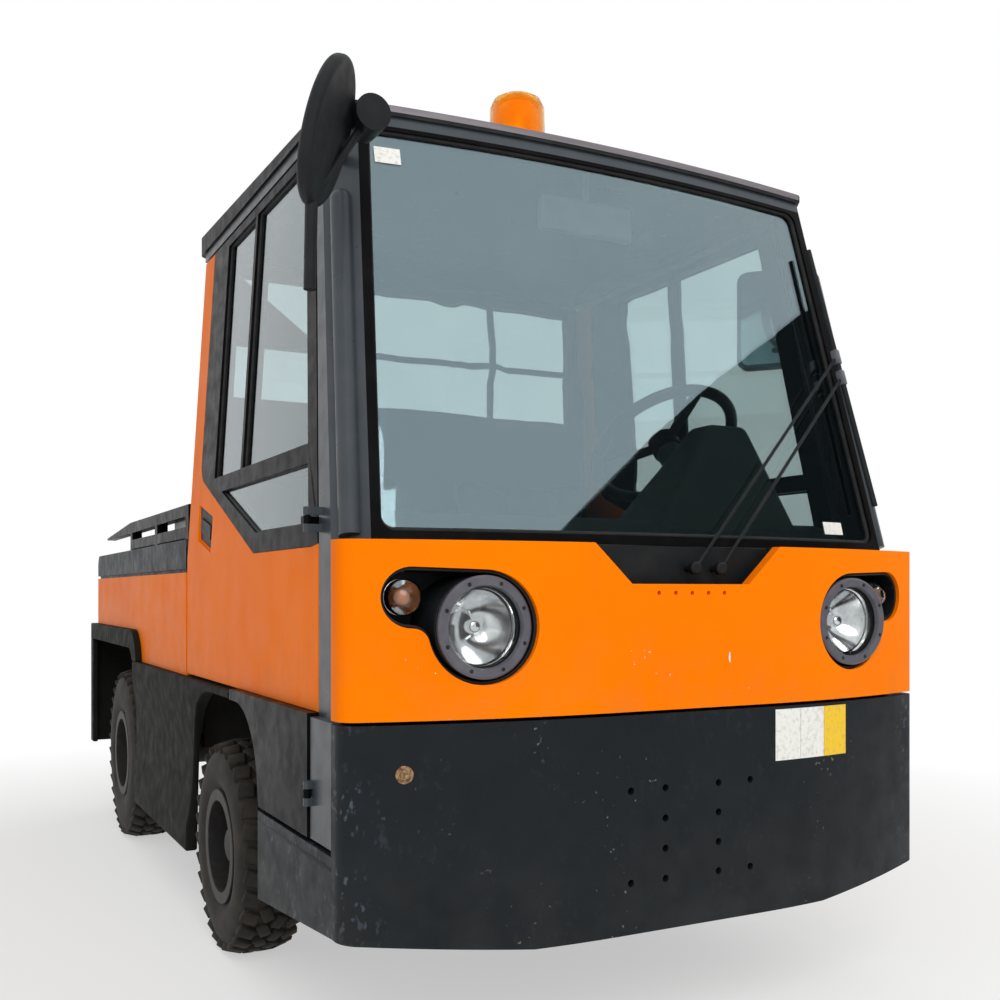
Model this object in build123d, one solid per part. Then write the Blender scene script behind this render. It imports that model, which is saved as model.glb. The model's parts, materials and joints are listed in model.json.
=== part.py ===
from build123d import *
import math
import os

# Electric tow tractor. Millimetres, +Z up, the front faces -Y, +X is the vehicle's left side.

# Whole vehicle
LENGTH = 2980
WIDTH = 1300
SEAM = 6             # shadow gap between outer panels
SEAT_GAP = 0.3       # between a piece and the piece it rests on
PIN_GAP = 0.3        # round a turning pin
SWING_GAP = 8        # round a swinging or rolling piece
OVERCUT = 1          # how far a cutter runs past the face it cuts
SHEET = 12
PANEL_T = 22

# Lengths from front to back
NOSE_BOW = 76        # middle of the nose, ahead of its corner line
FRONT_AXLE = 880     # behind the corner line
CAB_OVERHANG = 370   # cab back, behind the front axle
REAR_OVERHANG = 634  # tail, behind the rear axle
BODY_TAIL = 54       # rear panel, ahead of the tail
GUARD_TAIL = 4
PLATE_TAIL = 184
GUARD_LEAD = 370     # mudguard front, ahead of the rear axle

# Heights from the ground up
FRONT_TYRE_R = 245
REAR_TYRE_R = 285
ARCH_GAP = 110       # over the front tyre
ARCH_BAND = 17       # dark band over the arch
FLOOR_RISE = 180     # cab floor, over the front axle
RAIL_H = 80
BUMPER_BOTTOM = 228
DOOR_STEP = 20       # door foot, under the cab floor
PANEL_H = 299
CAB_H = 808
RING_H = 25
DECK_DROP = 35       # deck joint, under the belt line
LID_H = 91
LID_RIM = 4
GUARD_RISE = 98      # mudguard top, over the skirt
SKIRT_FOOT_Z = 175
GUARD_FOOT_Z = 256

# Widths in from the side
SIDE_STEP = 20       # orange panels, in from the widest line
TUMBLEHOME = 51      # roof edge, in from the belt line
SKIRT_T = 30
BODY_T = 25
GUARD_W = 195
FRONT_TUCK = 10      # tyre faces, in from the widest line
REAR_TUCK = 12
KINGPIN_IN = 200     # king pin, in from the front tyre's face
RAIL_IN = 170        # frame rail, in from the king pin
RAIL_W = 80

# Nose: flat in the middle, swept back to rounded corners
NOSE_FLAT = 160
NOSE_CORNER_R = 36
NOSE_DEPTH = 44      # side returns, behind the corner line
BUMPER_END_RISE = 34
BUMPER_SIDE_END = 490
BUMPER_SIDE_T = 35
BOLT_D = 13
BOLT_DEPTH = 40
BOLT_X_INNER = 60
BOLT_X_OUTER = 135
BOLT_DROP = 216      # middle of the bolt pattern, under the bumper top
BOLT_PITCH = 54.5
NOTCH_TOP = 210
NOTCH_FOOT = 132
NOTCH_DEPTH = 72
DRAIN_D = 8
DRAIN_PITCH = 37
DRAIN_DROP = 16
COWL_BACK = 70
COWL_T = 42
TRAY_L = 34

# Lamps in the nose
LAMP_IN = 236        # lamp middle, in from the widest line
LAMP_RISE = 4        # lamp middle, over the middle of the panel
LAMP_R = 97
TURN_DX = 122
TURN_DZ = 50
TURN_R = 51
LAMP_NECK_R = 28
LENS_R = 68
LENS_RISE = 16
LENS_RIM_T = 12
BEZEL_R = 87
TURN_LENS_R = 31
POD_WALL = 6
POD_SINK = 8
POD_BACK = 66
LENS_LEAD = 42       # lens seat, ahead of the corner line

# Cab above the belt line
SCREEN_FOOT = 31
SCREEN_RAKE = 205
SCREEN_BOW_FOOT = 52
SCREEN_BOW_HEAD = 35
SCREEN_RIM = 18
SCREEN_CORNER_R = 24
PILLAR_W = 46
PILLAR_L = 70
BEAD_R = 21
BEAD_SHARE = 0.78    # of the pillar's height
WALL = 38
GLASS_T = 6
GLASS_SINK = 10
REAR_PANE_IN = 120   # rear window, in from the belt line
REAR_PANE_RISE = 428
REAR_BAR_X = 244
REAR_BAR_RISE = 573
REAR_BAR_W = 16
ROOF_T = 10
ROOF_RISE = 42       # the roof climbs to the back
ROOF_LIP = 6
ROOF_EDGE_R = 6
ROOF_TAIL = 45
ROOF_CORNER_R = 30
CROWN_IN = 60
CROWN_T = 16
BEACON_BACK = 595
BEACON_R = 68
BEACON_BASE_H = 98
BEACON_H = 165

# Doors
DOOR_FRONT = 171
DOOR_FRONT_TOP = 335
DOOR_BACK_GAP = 10
DOOR_LOWER_LEAD = 158   # lower panel's back edge, ahead of the front axle
WINDOW_REAR_GAP = 110   # window frame, ahead of the cab back
WINDOW_R = 60
FRAME_W = 22
PANE_BAR = 38
PANE_POST = 9
PANE_LOW_H = 112
HINGE_OUT = 4           # hinge axis, out from the widest line
HINGE_LEAD = 13         # hinge axis, ahead of the door
HINGE_R = 7
HINGE_PIN_R = 4
HINGE_H = 14
HINGE_STRAP = 24
HANDLE_L = 150
HANDLE_RISE = 45
HANDLE_SLANT = 38
HANDLE_H = 88
HANDLE_DEPTH = 12

# Running gear
FRONT_TYRE_W = 150
FRONT_RIM_R = 131
REAR_TYRE_W = 170
REAR_RIM_R = 142
LUGS = 22
LUG_DEPTH = 13
LUG_GROOVE = 12      # between the two rows
LUG_SHARE = 0.6      # of the pitch
LUG_RAMP = 0.05      # of the pitch
KINGPIN_R = 14
BOSS_R = 33
BOSS_H = 80
BEAM_H = 68
BEAM_L = 70
EAR_T = 24
EAR_R = 28
SPINDLE_R = 25
HUB_R = 62
AXLE_R = 50
DRIVE_R = 105

# Back half
GUARD_LIP = 60
GUARD_R = 110
GUARD_T = 14
GUARD_LIP_T = 18
REAR_PLATE_T = 25
REAR_BUMPER_T = 45
BATTERY_IN = 185     # battery side, in from the body side
BATTERY_L = 620
BATTERY_GAP = 40
LID_HINGE_X = 350
LID_HINGE_R = 11
LID_PIN_R = 5
LID_HINGE_BACK = 14
LID_EDGE_R = 40
LOAD_RAIL_W = 32
LOAD_RAIL_IN = 34
LOAD_RAIL_H = 94
LOAD_RAIL_DROP = 60
JAW_W = 100
JAW_PITCH = 70
JAW_PLATE_T = 20
JAW_PIN_R = 15
JAW_H = 260
JAW_PIN_END = 40     # pin middle, ahead of the tail, and its rise over the plates

# Driver's place
SEAT_INNER = 80
SEAT_SIDE = 72       # seat, in from the cab wall
SEAT_H = 260         # cushion top, over the seat deck
SEAT_L = 450
CUSHION_T = 90
BACKREST_H = 330
BACKREST_LEAN = 8    # degrees
WHEEL_SIDE = 275     # steering wheel, in from the belt line
WHEEL_BACK = 500
WHEEL_RISE = 268     # over the belt line
WHEEL_R = 175
WHEEL_GRIP = 14
WHEEL_TILT = 40      # degrees
WHEEL_HUB_R = 38
WHEEL_HUB_H = 40
COLUMN_R = 32

# Mirrors and wiper
MIRROR_GAP = 7       # left mirror, out from the door
MIRROR_W = 160
MIRROR_H = 247
MIRROR_T = 26
MIRROR_YAW = -36.5
MIRROR_LEAN = 15
MIRROR_STEM = 150
MIRROR_ROD_R = 7
MIRROR_KNOB_R = 31
LEFT_MIRROR_W = 168
LEFT_MIRROR_YAW = 38
LEFT_MIRROR_BACK = 460
LOOP_W = 110
LOOP_H = 196
LOOP_LEAD = 60       # loop bracket, ahead of the left mirror
WIPER_ROD_R = 3.5
WIPER_BLADE_R = 6

# Worked out from these
FRONT_Y = -LENGTH / 2
REAR_Y = LENGTH / 2
CORNER_Y = FRONT_Y + NOSE_BOW
HALF = WIDTH / 2
TAIL = LENGTH - NOSE_BOW
REAR_AXLE = TAIL - REAR_OVERHANG
CAB_BACK = FRONT_AXLE + CAB_OVERHANG
BODY_BACK = TAIL - BODY_TAIL
REAR_PLATE = TAIL - PLATE_TAIL
GUARD_FRONT = REAR_AXLE - GUARD_LEAD
GUARD_BACK = TAIL - GUARD_TAIL
SKIRT_BACK = REAR_AXLE - REAR_TYRE_R - SWING_GAP
DOOR_BACK = CAB_BACK - DOOR_BACK_GAP
DOOR_LOWER_END = FRONT_AXLE - DOOR_LOWER_LEAD
ARCH_TOP_Z = 2 * FRONT_TYRE_R + ARCH_GAP
WAIST_Z = ARCH_TOP_Z + ARCH_BAND
SEAT_DECK_Z = ARCH_TOP_Z
PANEL_FOOT_Z = WAIST_Z + SEAM
BELT_Z = PANEL_FOOT_Z + PANEL_H
ROOF_Z = BELT_Z + CAB_H
RING_Z = ROOF_Z - RING_H
DOOR_TOP_Z = RING_Z - SEAM
FLOOR_Z = FRONT_TYRE_R + FLOOR_RISE
RAIL_Z = FLOOR_Z - RAIL_H
DOOR_FOOT_Z = FLOOR_Z - DOOR_STEP
DECK_Z = BELT_Z - DECK_DROP
LID_TOP_Z = DECK_Z + LID_H
GUARD_TOP_Z = WAIST_Z + GUARD_RISE
BELT_HALF = HALF - SIDE_STEP
ROOF_HALF = BELT_HALF - TUMBLEHOME
SKIRT_IN = HALF - SKIRT_T
BODY_IN = BELT_HALF - BODY_T
GUARD_IN = HALF - GUARD_W
INNER_HALF = BELT_HALF - WALL - 5
FRONT_OUTER = HALF - FRONT_TUCK
REAR_OUTER = HALF - REAR_TUCK
KINGPIN_X = FRONT_OUTER - KINGPIN_IN
RAIL_X = KINGPIN_X - RAIL_IN
HINGE_X = HALF + HINGE_OUT
LAMP_X = HALF - LAMP_IN
LAMP_Z = PANEL_FOOT_Z + PANEL_H / 2 + LAMP_RISE
BOLT_Z = WAIST_Z - BOLT_DROP
SCREEN_HEAD = SCREEN_FOOT + SCREEN_RAKE
NOSE_R = ((HALF - NOSE_FLAT) ** 2 + NOSE_BOW ** 2) / (2 * NOSE_BOW)


def back(distance):
    """Y at a distance behind the nose corner line."""
    return CORNER_Y + distance


def slab(x0, x1, y0, y1, z0, z1):
    middle = Pos((x0 + x1) / 2, (y0 + y1) / 2, (z0 + z1) / 2)
    return middle * Box(x1 - x0, y1 - y0, z1 - z0)


def side_face(points):
    """Side-view outline of (distance behind the corner line, z) points."""
    return Polygon(*[(back(d), z) for d, z in points])


def side_cut(face, x0, x1):
    """Side-view face drawn out from x0 to x1."""
    return extrude(Plane.YZ.offset(x0) * face, x1 - x0, dir=(1, 0, 0))


def side_plate(points, x0, x1):
    return side_cut(side_face(points), x0, x1)


def front_cut(face, y0, y1):
    """Front-view face drawn out from y0 to y1."""
    return extrude(Plane.XZ.offset(-y0) * face, y1 - y0, dir=(0, 1, 0))


def front_plate(points, y0, y1):
    return front_cut(Polygon(*points), y0, y1)


def front_disc(x, z, radius, y0, y1):
    """Round bar along Y."""
    return front_cut(Pos(x, z) * Circle(radius), y0, y1)


def post(x, y, radius, z0, z1):
    """Upright round bar."""
    return Pos(x, y, (z0 + z1) / 2) * Cylinder(radius, z1 - z0)


def bar(start, end, radius):
    """Round bar between two points."""
    run = Vector(end) - Vector(start)
    return extrude(Plane(origin=Vector(start), z_dir=run) * Circle(radius), run.length)


def pair(shape):
    return shape + mirror(shape, Plane.YZ)


def save(name, shape):
    export_step(shape, "parts/" + name + ".step")


def save_sides(name, left):
    save(name + "_left", left)
    save(name + "_right", mirror(left, Plane.YZ))


def nose_block(inset, back_y, z0, z1):
    """Block with the swept nose as its front, front and sides set in by inset."""
    half = HALF - inset
    radius = NOSE_R - inset
    centre_y = FRONT_Y + NOSE_R

    def bow(x):
        return centre_y - math.sqrt(radius ** 2 - (x - NOSE_FLAT) ** 2)

    mid = (NOSE_FLAT + half) / 2
    tip_y = FRONT_Y + inset
    edge_y = bow(half)
    outline = [
        Line((-NOSE_FLAT, tip_y), (NOSE_FLAT, tip_y)),
        ThreePointArc((NOSE_FLAT, tip_y), (mid, bow(mid)), (half, edge_y)),
        Polyline((half, edge_y), (half, back_y), (-half, back_y), (-half, edge_y)),
        ThreePointArc((-half, edge_y), (-mid, bow(mid)), (-NOSE_FLAT, tip_y)),
    ]
    face = make_face(outline)
    corners = [v for v in face.vertices() if abs(v.X) > half - 1 and v.Y < edge_y + 1]
    face = fillet(corners, NOSE_CORNER_R - inset / 2)
    return extrude(Plane.XY.offset(z0) * face, z1 - z0, dir=(0, 0, 1))


def cab_edges(share, inset):
    """Half width and screen line of the cab at a share of its height."""
    half = BELT_HALF - TUMBLEHOME * share - inset
    front = SCREEN_FOOT + SCREEN_RAKE * share + inset
    return half, front


def cab_plan(share, inset, tail=0):
    """Plan of the cab at a share of its height: straight sides, cut corners, bowed front."""
    half, front = cab_edges(share, inset)
    bow = SCREEN_BOW_FOOT + (SCREEN_BOW_HEAD - SCREEN_BOW_FOOT) * share
    seam = half - PILLAR_W
    shoulder_y = back(front + PILLAR_L)
    seam_y = back(front)
    rear_y = back(CAB_BACK + tail) - inset
    outline = [
        Polyline((seam, seam_y), (half, shoulder_y), (half, rear_y),
                 (-half, rear_y), (-half, shoulder_y), (-seam, seam_y)),
        ThreePointArc((-seam, seam_y), (0, back(front - bow)), (seam, seam_y)),
    ]
    return make_face(outline)


def cab_block(inset):
    """The cab above the belt as a solid, all its walls set in by inset."""
    foot = Plane.XY.offset(BELT_Z) * cab_plan(0, inset)
    head = Plane.XY.offset(ROOF_Z) * cab_plan(1, inset)
    return loft([foot, head], ruled=True)


os.makedirs("parts", exist_ok=True)

# Chassis frame: two rails, cross members, rear plate and its bracket
rail_in = RAIL_X - RAIL_W / 2
rail_out = RAIL_X + RAIL_W / 2
cross_l = 60
plate_y = back(REAR_PLATE)
plate_back_y = plate_y + REAR_PLATE_T
plate_head = GUARD_TOP_Z - 15
frame = pair(slab(rail_in, rail_out, back(NOSE_DEPTH), plate_y, RAIL_Z, FLOOR_Z))
for d in (NOSE_DEPTH, BUMPER_SIDE_END, CAB_BACK, SKIRT_BACK - cross_l):
    frame += slab(-rail_in, rail_in, back(d), back(d) + cross_l, RAIL_Z, FLOOR_Z)
frame += slab(-rail_out, rail_out, plate_y, plate_back_y, RAIL_Z - 45, plate_head)
frame += slab(-rail_out, rail_out, plate_back_y, back(BODY_BACK) - PANEL_T, plate_head - 60, plate_head)
save("chassis_frame", frame)

# Cab floor: footwell, seat deck with wheel-wells under it, bulkheads and sills
floor_t = 8
riser = FRONT_AXLE - math.hypot(KINGPIN_IN, FRONT_TYRE_R) - SWING_GAP - floor_t
deck_top = SEAT_DECK_Z + 15
well_x = rail_out + 10
bulkhead_y = back(COWL_BACK)
cab_back_y = back(CAB_BACK)
floor = slab(-INNER_HALF, INNER_HALF, bulkhead_y, back(riser), FLOOR_Z, FLOOR_Z + floor_t)
floor += slab(-INNER_HALF, INNER_HALF, bulkhead_y, bulkhead_y + SHEET, FLOOR_Z, BELT_Z)
floor += slab(-INNER_HALF, INNER_HALF, back(riser) - SHEET, back(riser), FLOOR_Z, deck_top)
floor += slab(-INNER_HALF, INNER_HALF, back(riser) - SHEET, cab_back_y, SEAT_DECK_Z, deck_top)
floor += slab(-INNER_HALF, INNER_HALF, cab_back_y - SHEET, cab_back_y, FLOOR_Z, deck_top)
well = slab(well_x - SHEET, well_x, back(riser) - SHEET, cab_back_y, FLOOR_Z, SEAT_DECK_Z)
sill_in = INNER_HALF - 30
sill_foot = RAIL_Z - 15
sill_y = back(BUMPER_SIDE_END)
sill = slab(sill_in, HALF - BUMPER_SIDE_T, bulkhead_y, sill_y, sill_foot, DOOR_FOOT_Z - SWING_GAP)
sill += slab(sill_in, INNER_HALF, bulkhead_y, sill_y, sill_foot, FLOOR_Z)
ledge = slab(INNER_HALF - 5, SKIRT_IN, back(FRONT_AXLE - 78), cab_back_y, SEAT_DECK_Z, deck_top)
floor += pair(well + sill + ledge)
save("cab_floor", floor)

# Front bumper: nose block with rising ends, side pieces and bolt holes
bumper_back_y = back(NOSE_DEPTH)
bumper = nose_block(0, bumper_back_y, BUMPER_BOTTOM, WAIST_Z)
rise_x = HALF / 2
end_foot = BUMPER_BOTTOM + BUMPER_END_RISE
end_cut = [(rise_x, BUMPER_BOTTOM - OVERCUT), (HALF + OVERCUT, BUMPER_BOTTOM - OVERCUT),
           (HALF + OVERCUT, end_foot), (rise_x, BUMPER_BOTTOM)]
bumper -= pair(front_plate(end_cut, FRONT_Y - OVERCUT, bumper_back_y + OVERCUT))
side_top = DOOR_FOOT_Z - SWING_GAP
side_points = [(NOSE_DEPTH - 5, end_foot), (BUMPER_SIDE_END, BUMPER_BOTTOM - 8),
               (BUMPER_SIDE_END, side_top), (NOSE_DEPTH - 5, side_top)]
bumper += pair(side_plate(side_points, HALF - BUMPER_SIDE_T, HALF))
bolt_rows = [BOLT_Z + k * BOLT_PITCH for k in (-1.5, -0.5, 0.5, 1.5)]
bolt_places = [(BOLT_X_INNER, z) for z in bolt_rows]
bolt_places += [(BOLT_X_OUTER, z) for z in (bolt_rows[0], bolt_rows[-1])]
for x, z in bolt_places:
    bumper -= pair(front_disc(x, z, BOLT_D / 2, FRONT_Y - OVERCUT, FRONT_Y + BOLT_DEPTH))
save("front_bumper", bumper)

# Front panel: bowed sheet with a wiper notch, drain holes and two lamp openings
turn_x = LAMP_X + TURN_DX
turn_z = LAMP_Z + TURN_DZ


def lamp_shape(grow):
    """Front outline of a lamp pod: big round and small round under one straight brow."""
    big = Pos(LAMP_X, LAMP_Z) * Circle(LAMP_R + grow)
    small = Pos(turn_x, turn_z) * Circle(TURN_R + grow)
    brow = Polygon((LAMP_X, LAMP_Z), (turn_x, turn_z), (turn_x, turn_z + TURN_R + grow),
                   (LAMP_X, LAMP_Z + LAMP_R + grow))
    face = big + small + brow
    neck = face.vertices().sort_by(Axis.Y)[0:2]
    return fillet(neck.sort_by(Axis.X)[-1], LAMP_NECK_R - grow)


def lamp_block(grow, y0, y1):
    return front_cut(lamp_shape(grow), y0, y1)


panel = nose_block(0, back(NOSE_DEPTH), PANEL_FOOT_Z, BELT_Z)
panel -= nose_block(PANEL_T, back(NOSE_DEPTH) + PANEL_T, PANEL_FOOT_Z - OVERCUT, BELT_Z + OVERCUT)
notch_z = BELT_Z - NOTCH_DEPTH
notch = [(-NOTCH_FOOT, notch_z), (NOTCH_FOOT, notch_z), (NOTCH_TOP, BELT_Z + OVERCUT),
         (-NOTCH_TOP, BELT_Z + OVERCUT)]
panel_back_y = FRONT_Y + 2 * PANEL_T
panel -= front_plate(notch, FRONT_Y - OVERCUT, panel_back_y)
for k in range(-2, 3):
    panel -= front_disc(k * DRAIN_PITCH, notch_z - DRAIN_DROP, DRAIN_D / 2, FRONT_Y - OVERCUT, panel_back_y)
panel -= pair(lamp_block(0, FRONT_Y - OVERCUT, CORNER_Y + PANEL_T))
save("front_panel", panel)

# Cowl between the panel and the windscreen, with the wiper tray
cowl = nose_block(PANEL_T, bulkhead_y, BELT_Z - COWL_T, BELT_Z)
tray_z = notch_z - SHEET
tray_back_y = FRONT_Y + PANEL_T + TRAY_L
tray = slab(-NOTCH_TOP - 30, NOTCH_TOP + 30, FRONT_Y, bulkhead_y, tray_z, BELT_Z)
cowl += tray & nose_block(PANEL_T, bulkhead_y, tray_z, BELT_Z)
cowl -= slab(-NOTCH_TOP - 10, NOTCH_TOP + 10, FRONT_Y, tray_back_y, notch_z, BELT_Z + OVERCUT)
cowl -= pair(slab(INNER_HALF, HALF, back(NOSE_DEPTH), bulkhead_y + OVERCUT, tray_z, BELT_Z + OVERCUT))
save("cowl", cowl)

# Lamp pods with bezel rings, headlamp bowls, lenses and turn lamps
lens_y = CORNER_Y - LENS_LEAD
pod_back_y = back(POD_BACK)
pod_floor_y = pod_back_y - POD_WALL
pod = lamp_block(-SEAT_GAP, FRONT_Y, pod_back_y) - lamp_block(-POD_WALL, FRONT_Y - OVERCUT, pod_floor_y)
pod &= nose_block(POD_SINK, pod_back_y + OVERCUT, PANEL_FOOT_Z, BELT_Z)
bezel = front_disc(LAMP_X, LAMP_Z, BEZEL_R, lens_y, pod_floor_y)
pod += bezel - front_disc(LAMP_X, LAMP_Z, LENS_R, lens_y - OVERCUT, pod_floor_y)
save("lamp_pods", pair(pod))
lamp_plane = Plane(origin=(LAMP_X, 0, LAMP_Z), x_dir=(1, 0, 0), z_dir=(0, 0, 1))
lamp_axis = Axis((LAMP_X, 0, LAMP_Z), (0, 1, 0))
lens_rim = LENS_R - SEAT_GAP
bowl_lip_y = lens_y + LENS_RIM_T + 2
bowl_floor_y = pod_floor_y - 8
bowl_points = [(0, pod_floor_y), (LENS_R - 8, pod_floor_y), (lens_rim, bowl_lip_y),
               (LENS_R - 6, bowl_lip_y), (20, bowl_floor_y), (0, bowl_floor_y)]
save("headlamps", pair(revolve(lamp_plane * Polygon(*bowl_points), lamp_axis)))
ball_r = (lens_rim ** 2 + LENS_RISE ** 2) / (2 * LENS_RISE)
half_rise = ball_r - math.sqrt(ball_r ** 2 - (lens_rim / 2) ** 2)
crest_y = lens_y - LENS_RIM_T
edge_y = crest_y + LENS_RISE
lens_face = make_face([
    Polyline((0, crest_y), (0, lens_y + LENS_RIM_T), (lens_rim, lens_y + LENS_RIM_T), (lens_rim, edge_y)),
    ThreePointArc((lens_rim, edge_y), (lens_rim / 2, crest_y + half_rise), (0, crest_y)),
])
save("headlamp_lenses", pair(revolve(lamp_plane * lens_face, lamp_axis)))
turn_lamp = front_disc(turn_x, turn_z, TURN_LENS_R, CORNER_Y - LENS_LEAD / 2, pod_floor_y)
save("turn_lamps", pair(fillet(turn_lamp.edges().group_by(Axis.Y)[0], TURN_LENS_R * 0.45)))

# Cab above the belt: one tapered shell split into windscreen frame, pillars and doors
cab_outer = cab_block(0)
shell = cab_outer - cab_block(WALL)
pane = cab_block(GLASS_SINK) - cab_block(GLASS_SINK + GLASS_T)
screen_back_y = back(SCREEN_HEAD + 2 * PILLAR_L)
seam_foot = BELT_HALF - PILLAR_W
seam_head = ROOF_HALF - PILLAR_W


def screen_face(inset, foot, head):
    """Front outline of the windscreen, set in from its seams."""
    return Polygon((-seam_foot + inset, foot), (seam_foot - inset, foot),
                   (seam_head - inset, head), (-seam_head + inset, head))


seam_prism = front_cut(screen_face(0, BELT_Z, ROOF_Z), FRONT_Y, screen_back_y)
opening_face = screen_face(SCREEN_RIM, BELT_Z + SCREEN_RIM, RING_Z - SCREEN_RIM / 2)
opening = front_cut(fillet(opening_face.vertices(), SCREEN_CORNER_R), FRONT_Y, screen_back_y)
front_half = slab(-HALF, HALF, FRONT_Y, screen_back_y, BELT_Z - OVERCUT, RING_Z)
save("windscreen_frame", (shell & front_half & seam_prism) - opening)
save("windscreen", pane & opening)

# Cab frame: front pillars with a round bead, roof ring and the posts that carry the door hinges
wall_section = [(BELT_HALF - WALL, BELT_Z), (BELT_HALF + OVERCUT, BELT_Z),
                (ROOF_HALF + OVERCUT, ROOF_Z), (ROOF_HALF - WALL, ROOF_Z)]
side_wall = shell & front_plate(wall_section, FRONT_Y, REAR_Y)
pillar_cut = [(DOOR_FRONT - SEAM, BELT_Z), (DOOR_FRONT_TOP - SEAM, RING_Z), (-NOSE_BOW, RING_Z),
              (-NOSE_BOW, BELT_Z)]
pillars = (shell & side_plate(pillar_cut, -HALF, HALF)) - seam_prism
ring = (cab_outer - cab_block(WALL + 24)) & slab(-HALF, HALF, FRONT_Y, REAR_Y, RING_Z, ROOF_Z)


def pillar_point(share):
    """Middle of the left pillar's outer face at a share of its height."""
    half, front = cab_edges(share, 0)
    return Vector(half - PILLAR_W / 2, back(front + PILLAR_L / 2), BELT_Z + CAB_H * share)


bead_head = pillar_point(BEAD_SHARE)
bead = bar(pillar_point(0.01), bead_head, BEAD_R) + Pos(bead_head) * Sphere(BEAD_R)
post_back = DOOR_FRONT - SEAM
hinge_post = slab(INNER_HALF, BELT_HALF, back(NOSE_DEPTH + SEAM), back(post_back), WAIST_Z, BELT_Z)
hinge_post += slab(INNER_HALF, HALF - 4, back(NOSE_DEPTH + SEAM), back(post_back), DOOR_FOOT_Z, WAIST_Z)
hinge_y = back(DOOR_FRONT - HINGE_LEAD)
hinge_levels = [DOOR_FOOT_Z + 80, BELT_Z + 40]
lug_roots = [HALF - BUMPER_SIDE_T, BELT_HALF - PANEL_T]
for z, root in zip(hinge_levels, lug_roots):
    for lug_z in (z - HINGE_H * 1.5 - 1, z + HINGE_H * 0.5 + 1):
        hinge_post += post(HINGE_X, hinge_y, HINGE_R, lug_z, lug_z + HINGE_H)
        hinge_post += slab(root, HINGE_X, hinge_y - HINGE_R, hinge_y, lug_z, lug_z + HINGE_H)
    hinge_post += post(HINGE_X, hinge_y, HINGE_PIN_R, z - HINGE_H, z + HINGE_H)
save("cab_frame", pillars + ring + pair(bead + hinge_post))

# Rear wall with its barred window
rear_face = Polygon((-INNER_HALF, BELT_Z), (INNER_HALF, BELT_Z), (INNER_HALF - TUMBLEHOME, ROOF_Z),
                    (-INNER_HALF + TUMBLEHOME, ROOF_Z))
wall_y = cab_back_y - WALL
rear_wall = front_cut(rear_face, wall_y, cab_back_y)
rear_wall &= slab(-HALF, HALF, wall_y, cab_back_y, BELT_Z, RING_Z)
rear_wall += slab(-INNER_HALF, INNER_HALF, wall_y, cab_back_y, deck_top, BELT_Z)
pane_half = BELT_HALF - REAR_PANE_IN
pane_foot = BELT_Z + REAR_PANE_RISE
pane_head = RING_Z - 30
rear_wall -= slab(-pane_half, pane_half, wall_y - OVERCUT, cab_back_y + OVERCUT, pane_foot, pane_head)
bar_half = REAR_BAR_W / 2
bar_z = BELT_Z + REAR_BAR_RISE
rear_wall += slab(-pane_half, pane_half, wall_y, wall_y + REAR_BAR_W, bar_z - bar_half, bar_z + bar_half)
rear_wall += pair(slab(REAR_BAR_X - bar_half, REAR_BAR_X + bar_half, wall_y, wall_y + REAR_BAR_W,
                       pane_foot, pane_head))
save("rear_wall", rear_wall)
rear_glass_y = cab_back_y - GLASS_SINK - GLASS_T
save("rear_window", slab(-pane_half, pane_half, rear_glass_y, rear_glass_y + GLASS_T, pane_foot, pane_head))

# Roof: plate that climbs to the back, crown, beacon stand and dome
roof_back = CAB_BACK + ROOF_TAIL


def roof_plate(inset, rise, edge_r):
    """Roof plan set in by inset, its sloping top lifted by rise and rounded at the edge."""
    face = cab_plan(1, inset - ROOF_LIP, ROOF_TAIL)
    face = fillet(face.vertices().sort_by(Axis.Y)[-2:], ROOF_CORNER_R)
    top = ROOF_Z + ROOF_T + rise
    block = extrude(Plane.XY.offset(ROOF_Z) * face, ROOF_T + rise + ROOF_RISE, dir=(0, 0, 1))
    reach = roof_back + ROOF_CORNER_R
    slope = [(0, ROOF_Z), (reach, ROOF_Z), (reach, top + ROOF_RISE), (0, top)]
    plate = block & side_plate(slope, -HALF, HALF)
    return fillet(plate.faces().sort_by(Axis.Z)[-1].edges(), edge_r)


roof = roof_plate(0, 0, ROOF_EDGE_R) + roof_plate(CROWN_IN, CROWN_T, 2 * ROOF_EDGE_R)
save("roof", roof)
beacon_y = back(BEACON_BACK)
beacon_foot = ROOF_Z + ROOF_T
beacon_seat = beacon_foot + BEACON_BASE_H
beacon_base = post(0, beacon_y, BEACON_R + 6, beacon_foot, beacon_seat)
save("beacon_base", beacon_base - Pos(0, 0, SEAT_GAP) * roof)
dome = post(0, beacon_y, BEACON_R, beacon_seat + SEAT_GAP, beacon_seat + BEACON_H)
save("beacon_dome", fillet(dome.edges().group_by(Axis.Z)[-1], BEACON_R * 0.5))

# Wheel arch: cuts the lower door panel and the skirt
arch_front = FRONT_AXLE - 406
arch_back = FRONT_AXLE + 286
arch_foot = SKIRT_FOOT_Z - OVERCUT
arch_face = side_face([(arch_front, arch_foot), (arch_front, RAIL_Z - 5), (arch_front + 52, ARCH_TOP_Z),
                       (arch_back - 44, ARCH_TOP_Z), (arch_back, arch_foot)])
arch_corners = arch_face.vertices().group_by(Axis.Y)[-1].sort_by(Axis.X)
arch_face = fillet(arch_corners[0], ARCH_GAP * 1.6)
arch_corners = arch_face.vertices().sort_by(Axis.X)
arch_face = fillet([v for v in arch_corners if abs(v.Y - ARCH_TOP_Z) < OVERCUT][-1], ARCH_GAP * 2.1)
arch = side_cut(arch_face, 0, HALF + OVERCUT)

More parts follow.
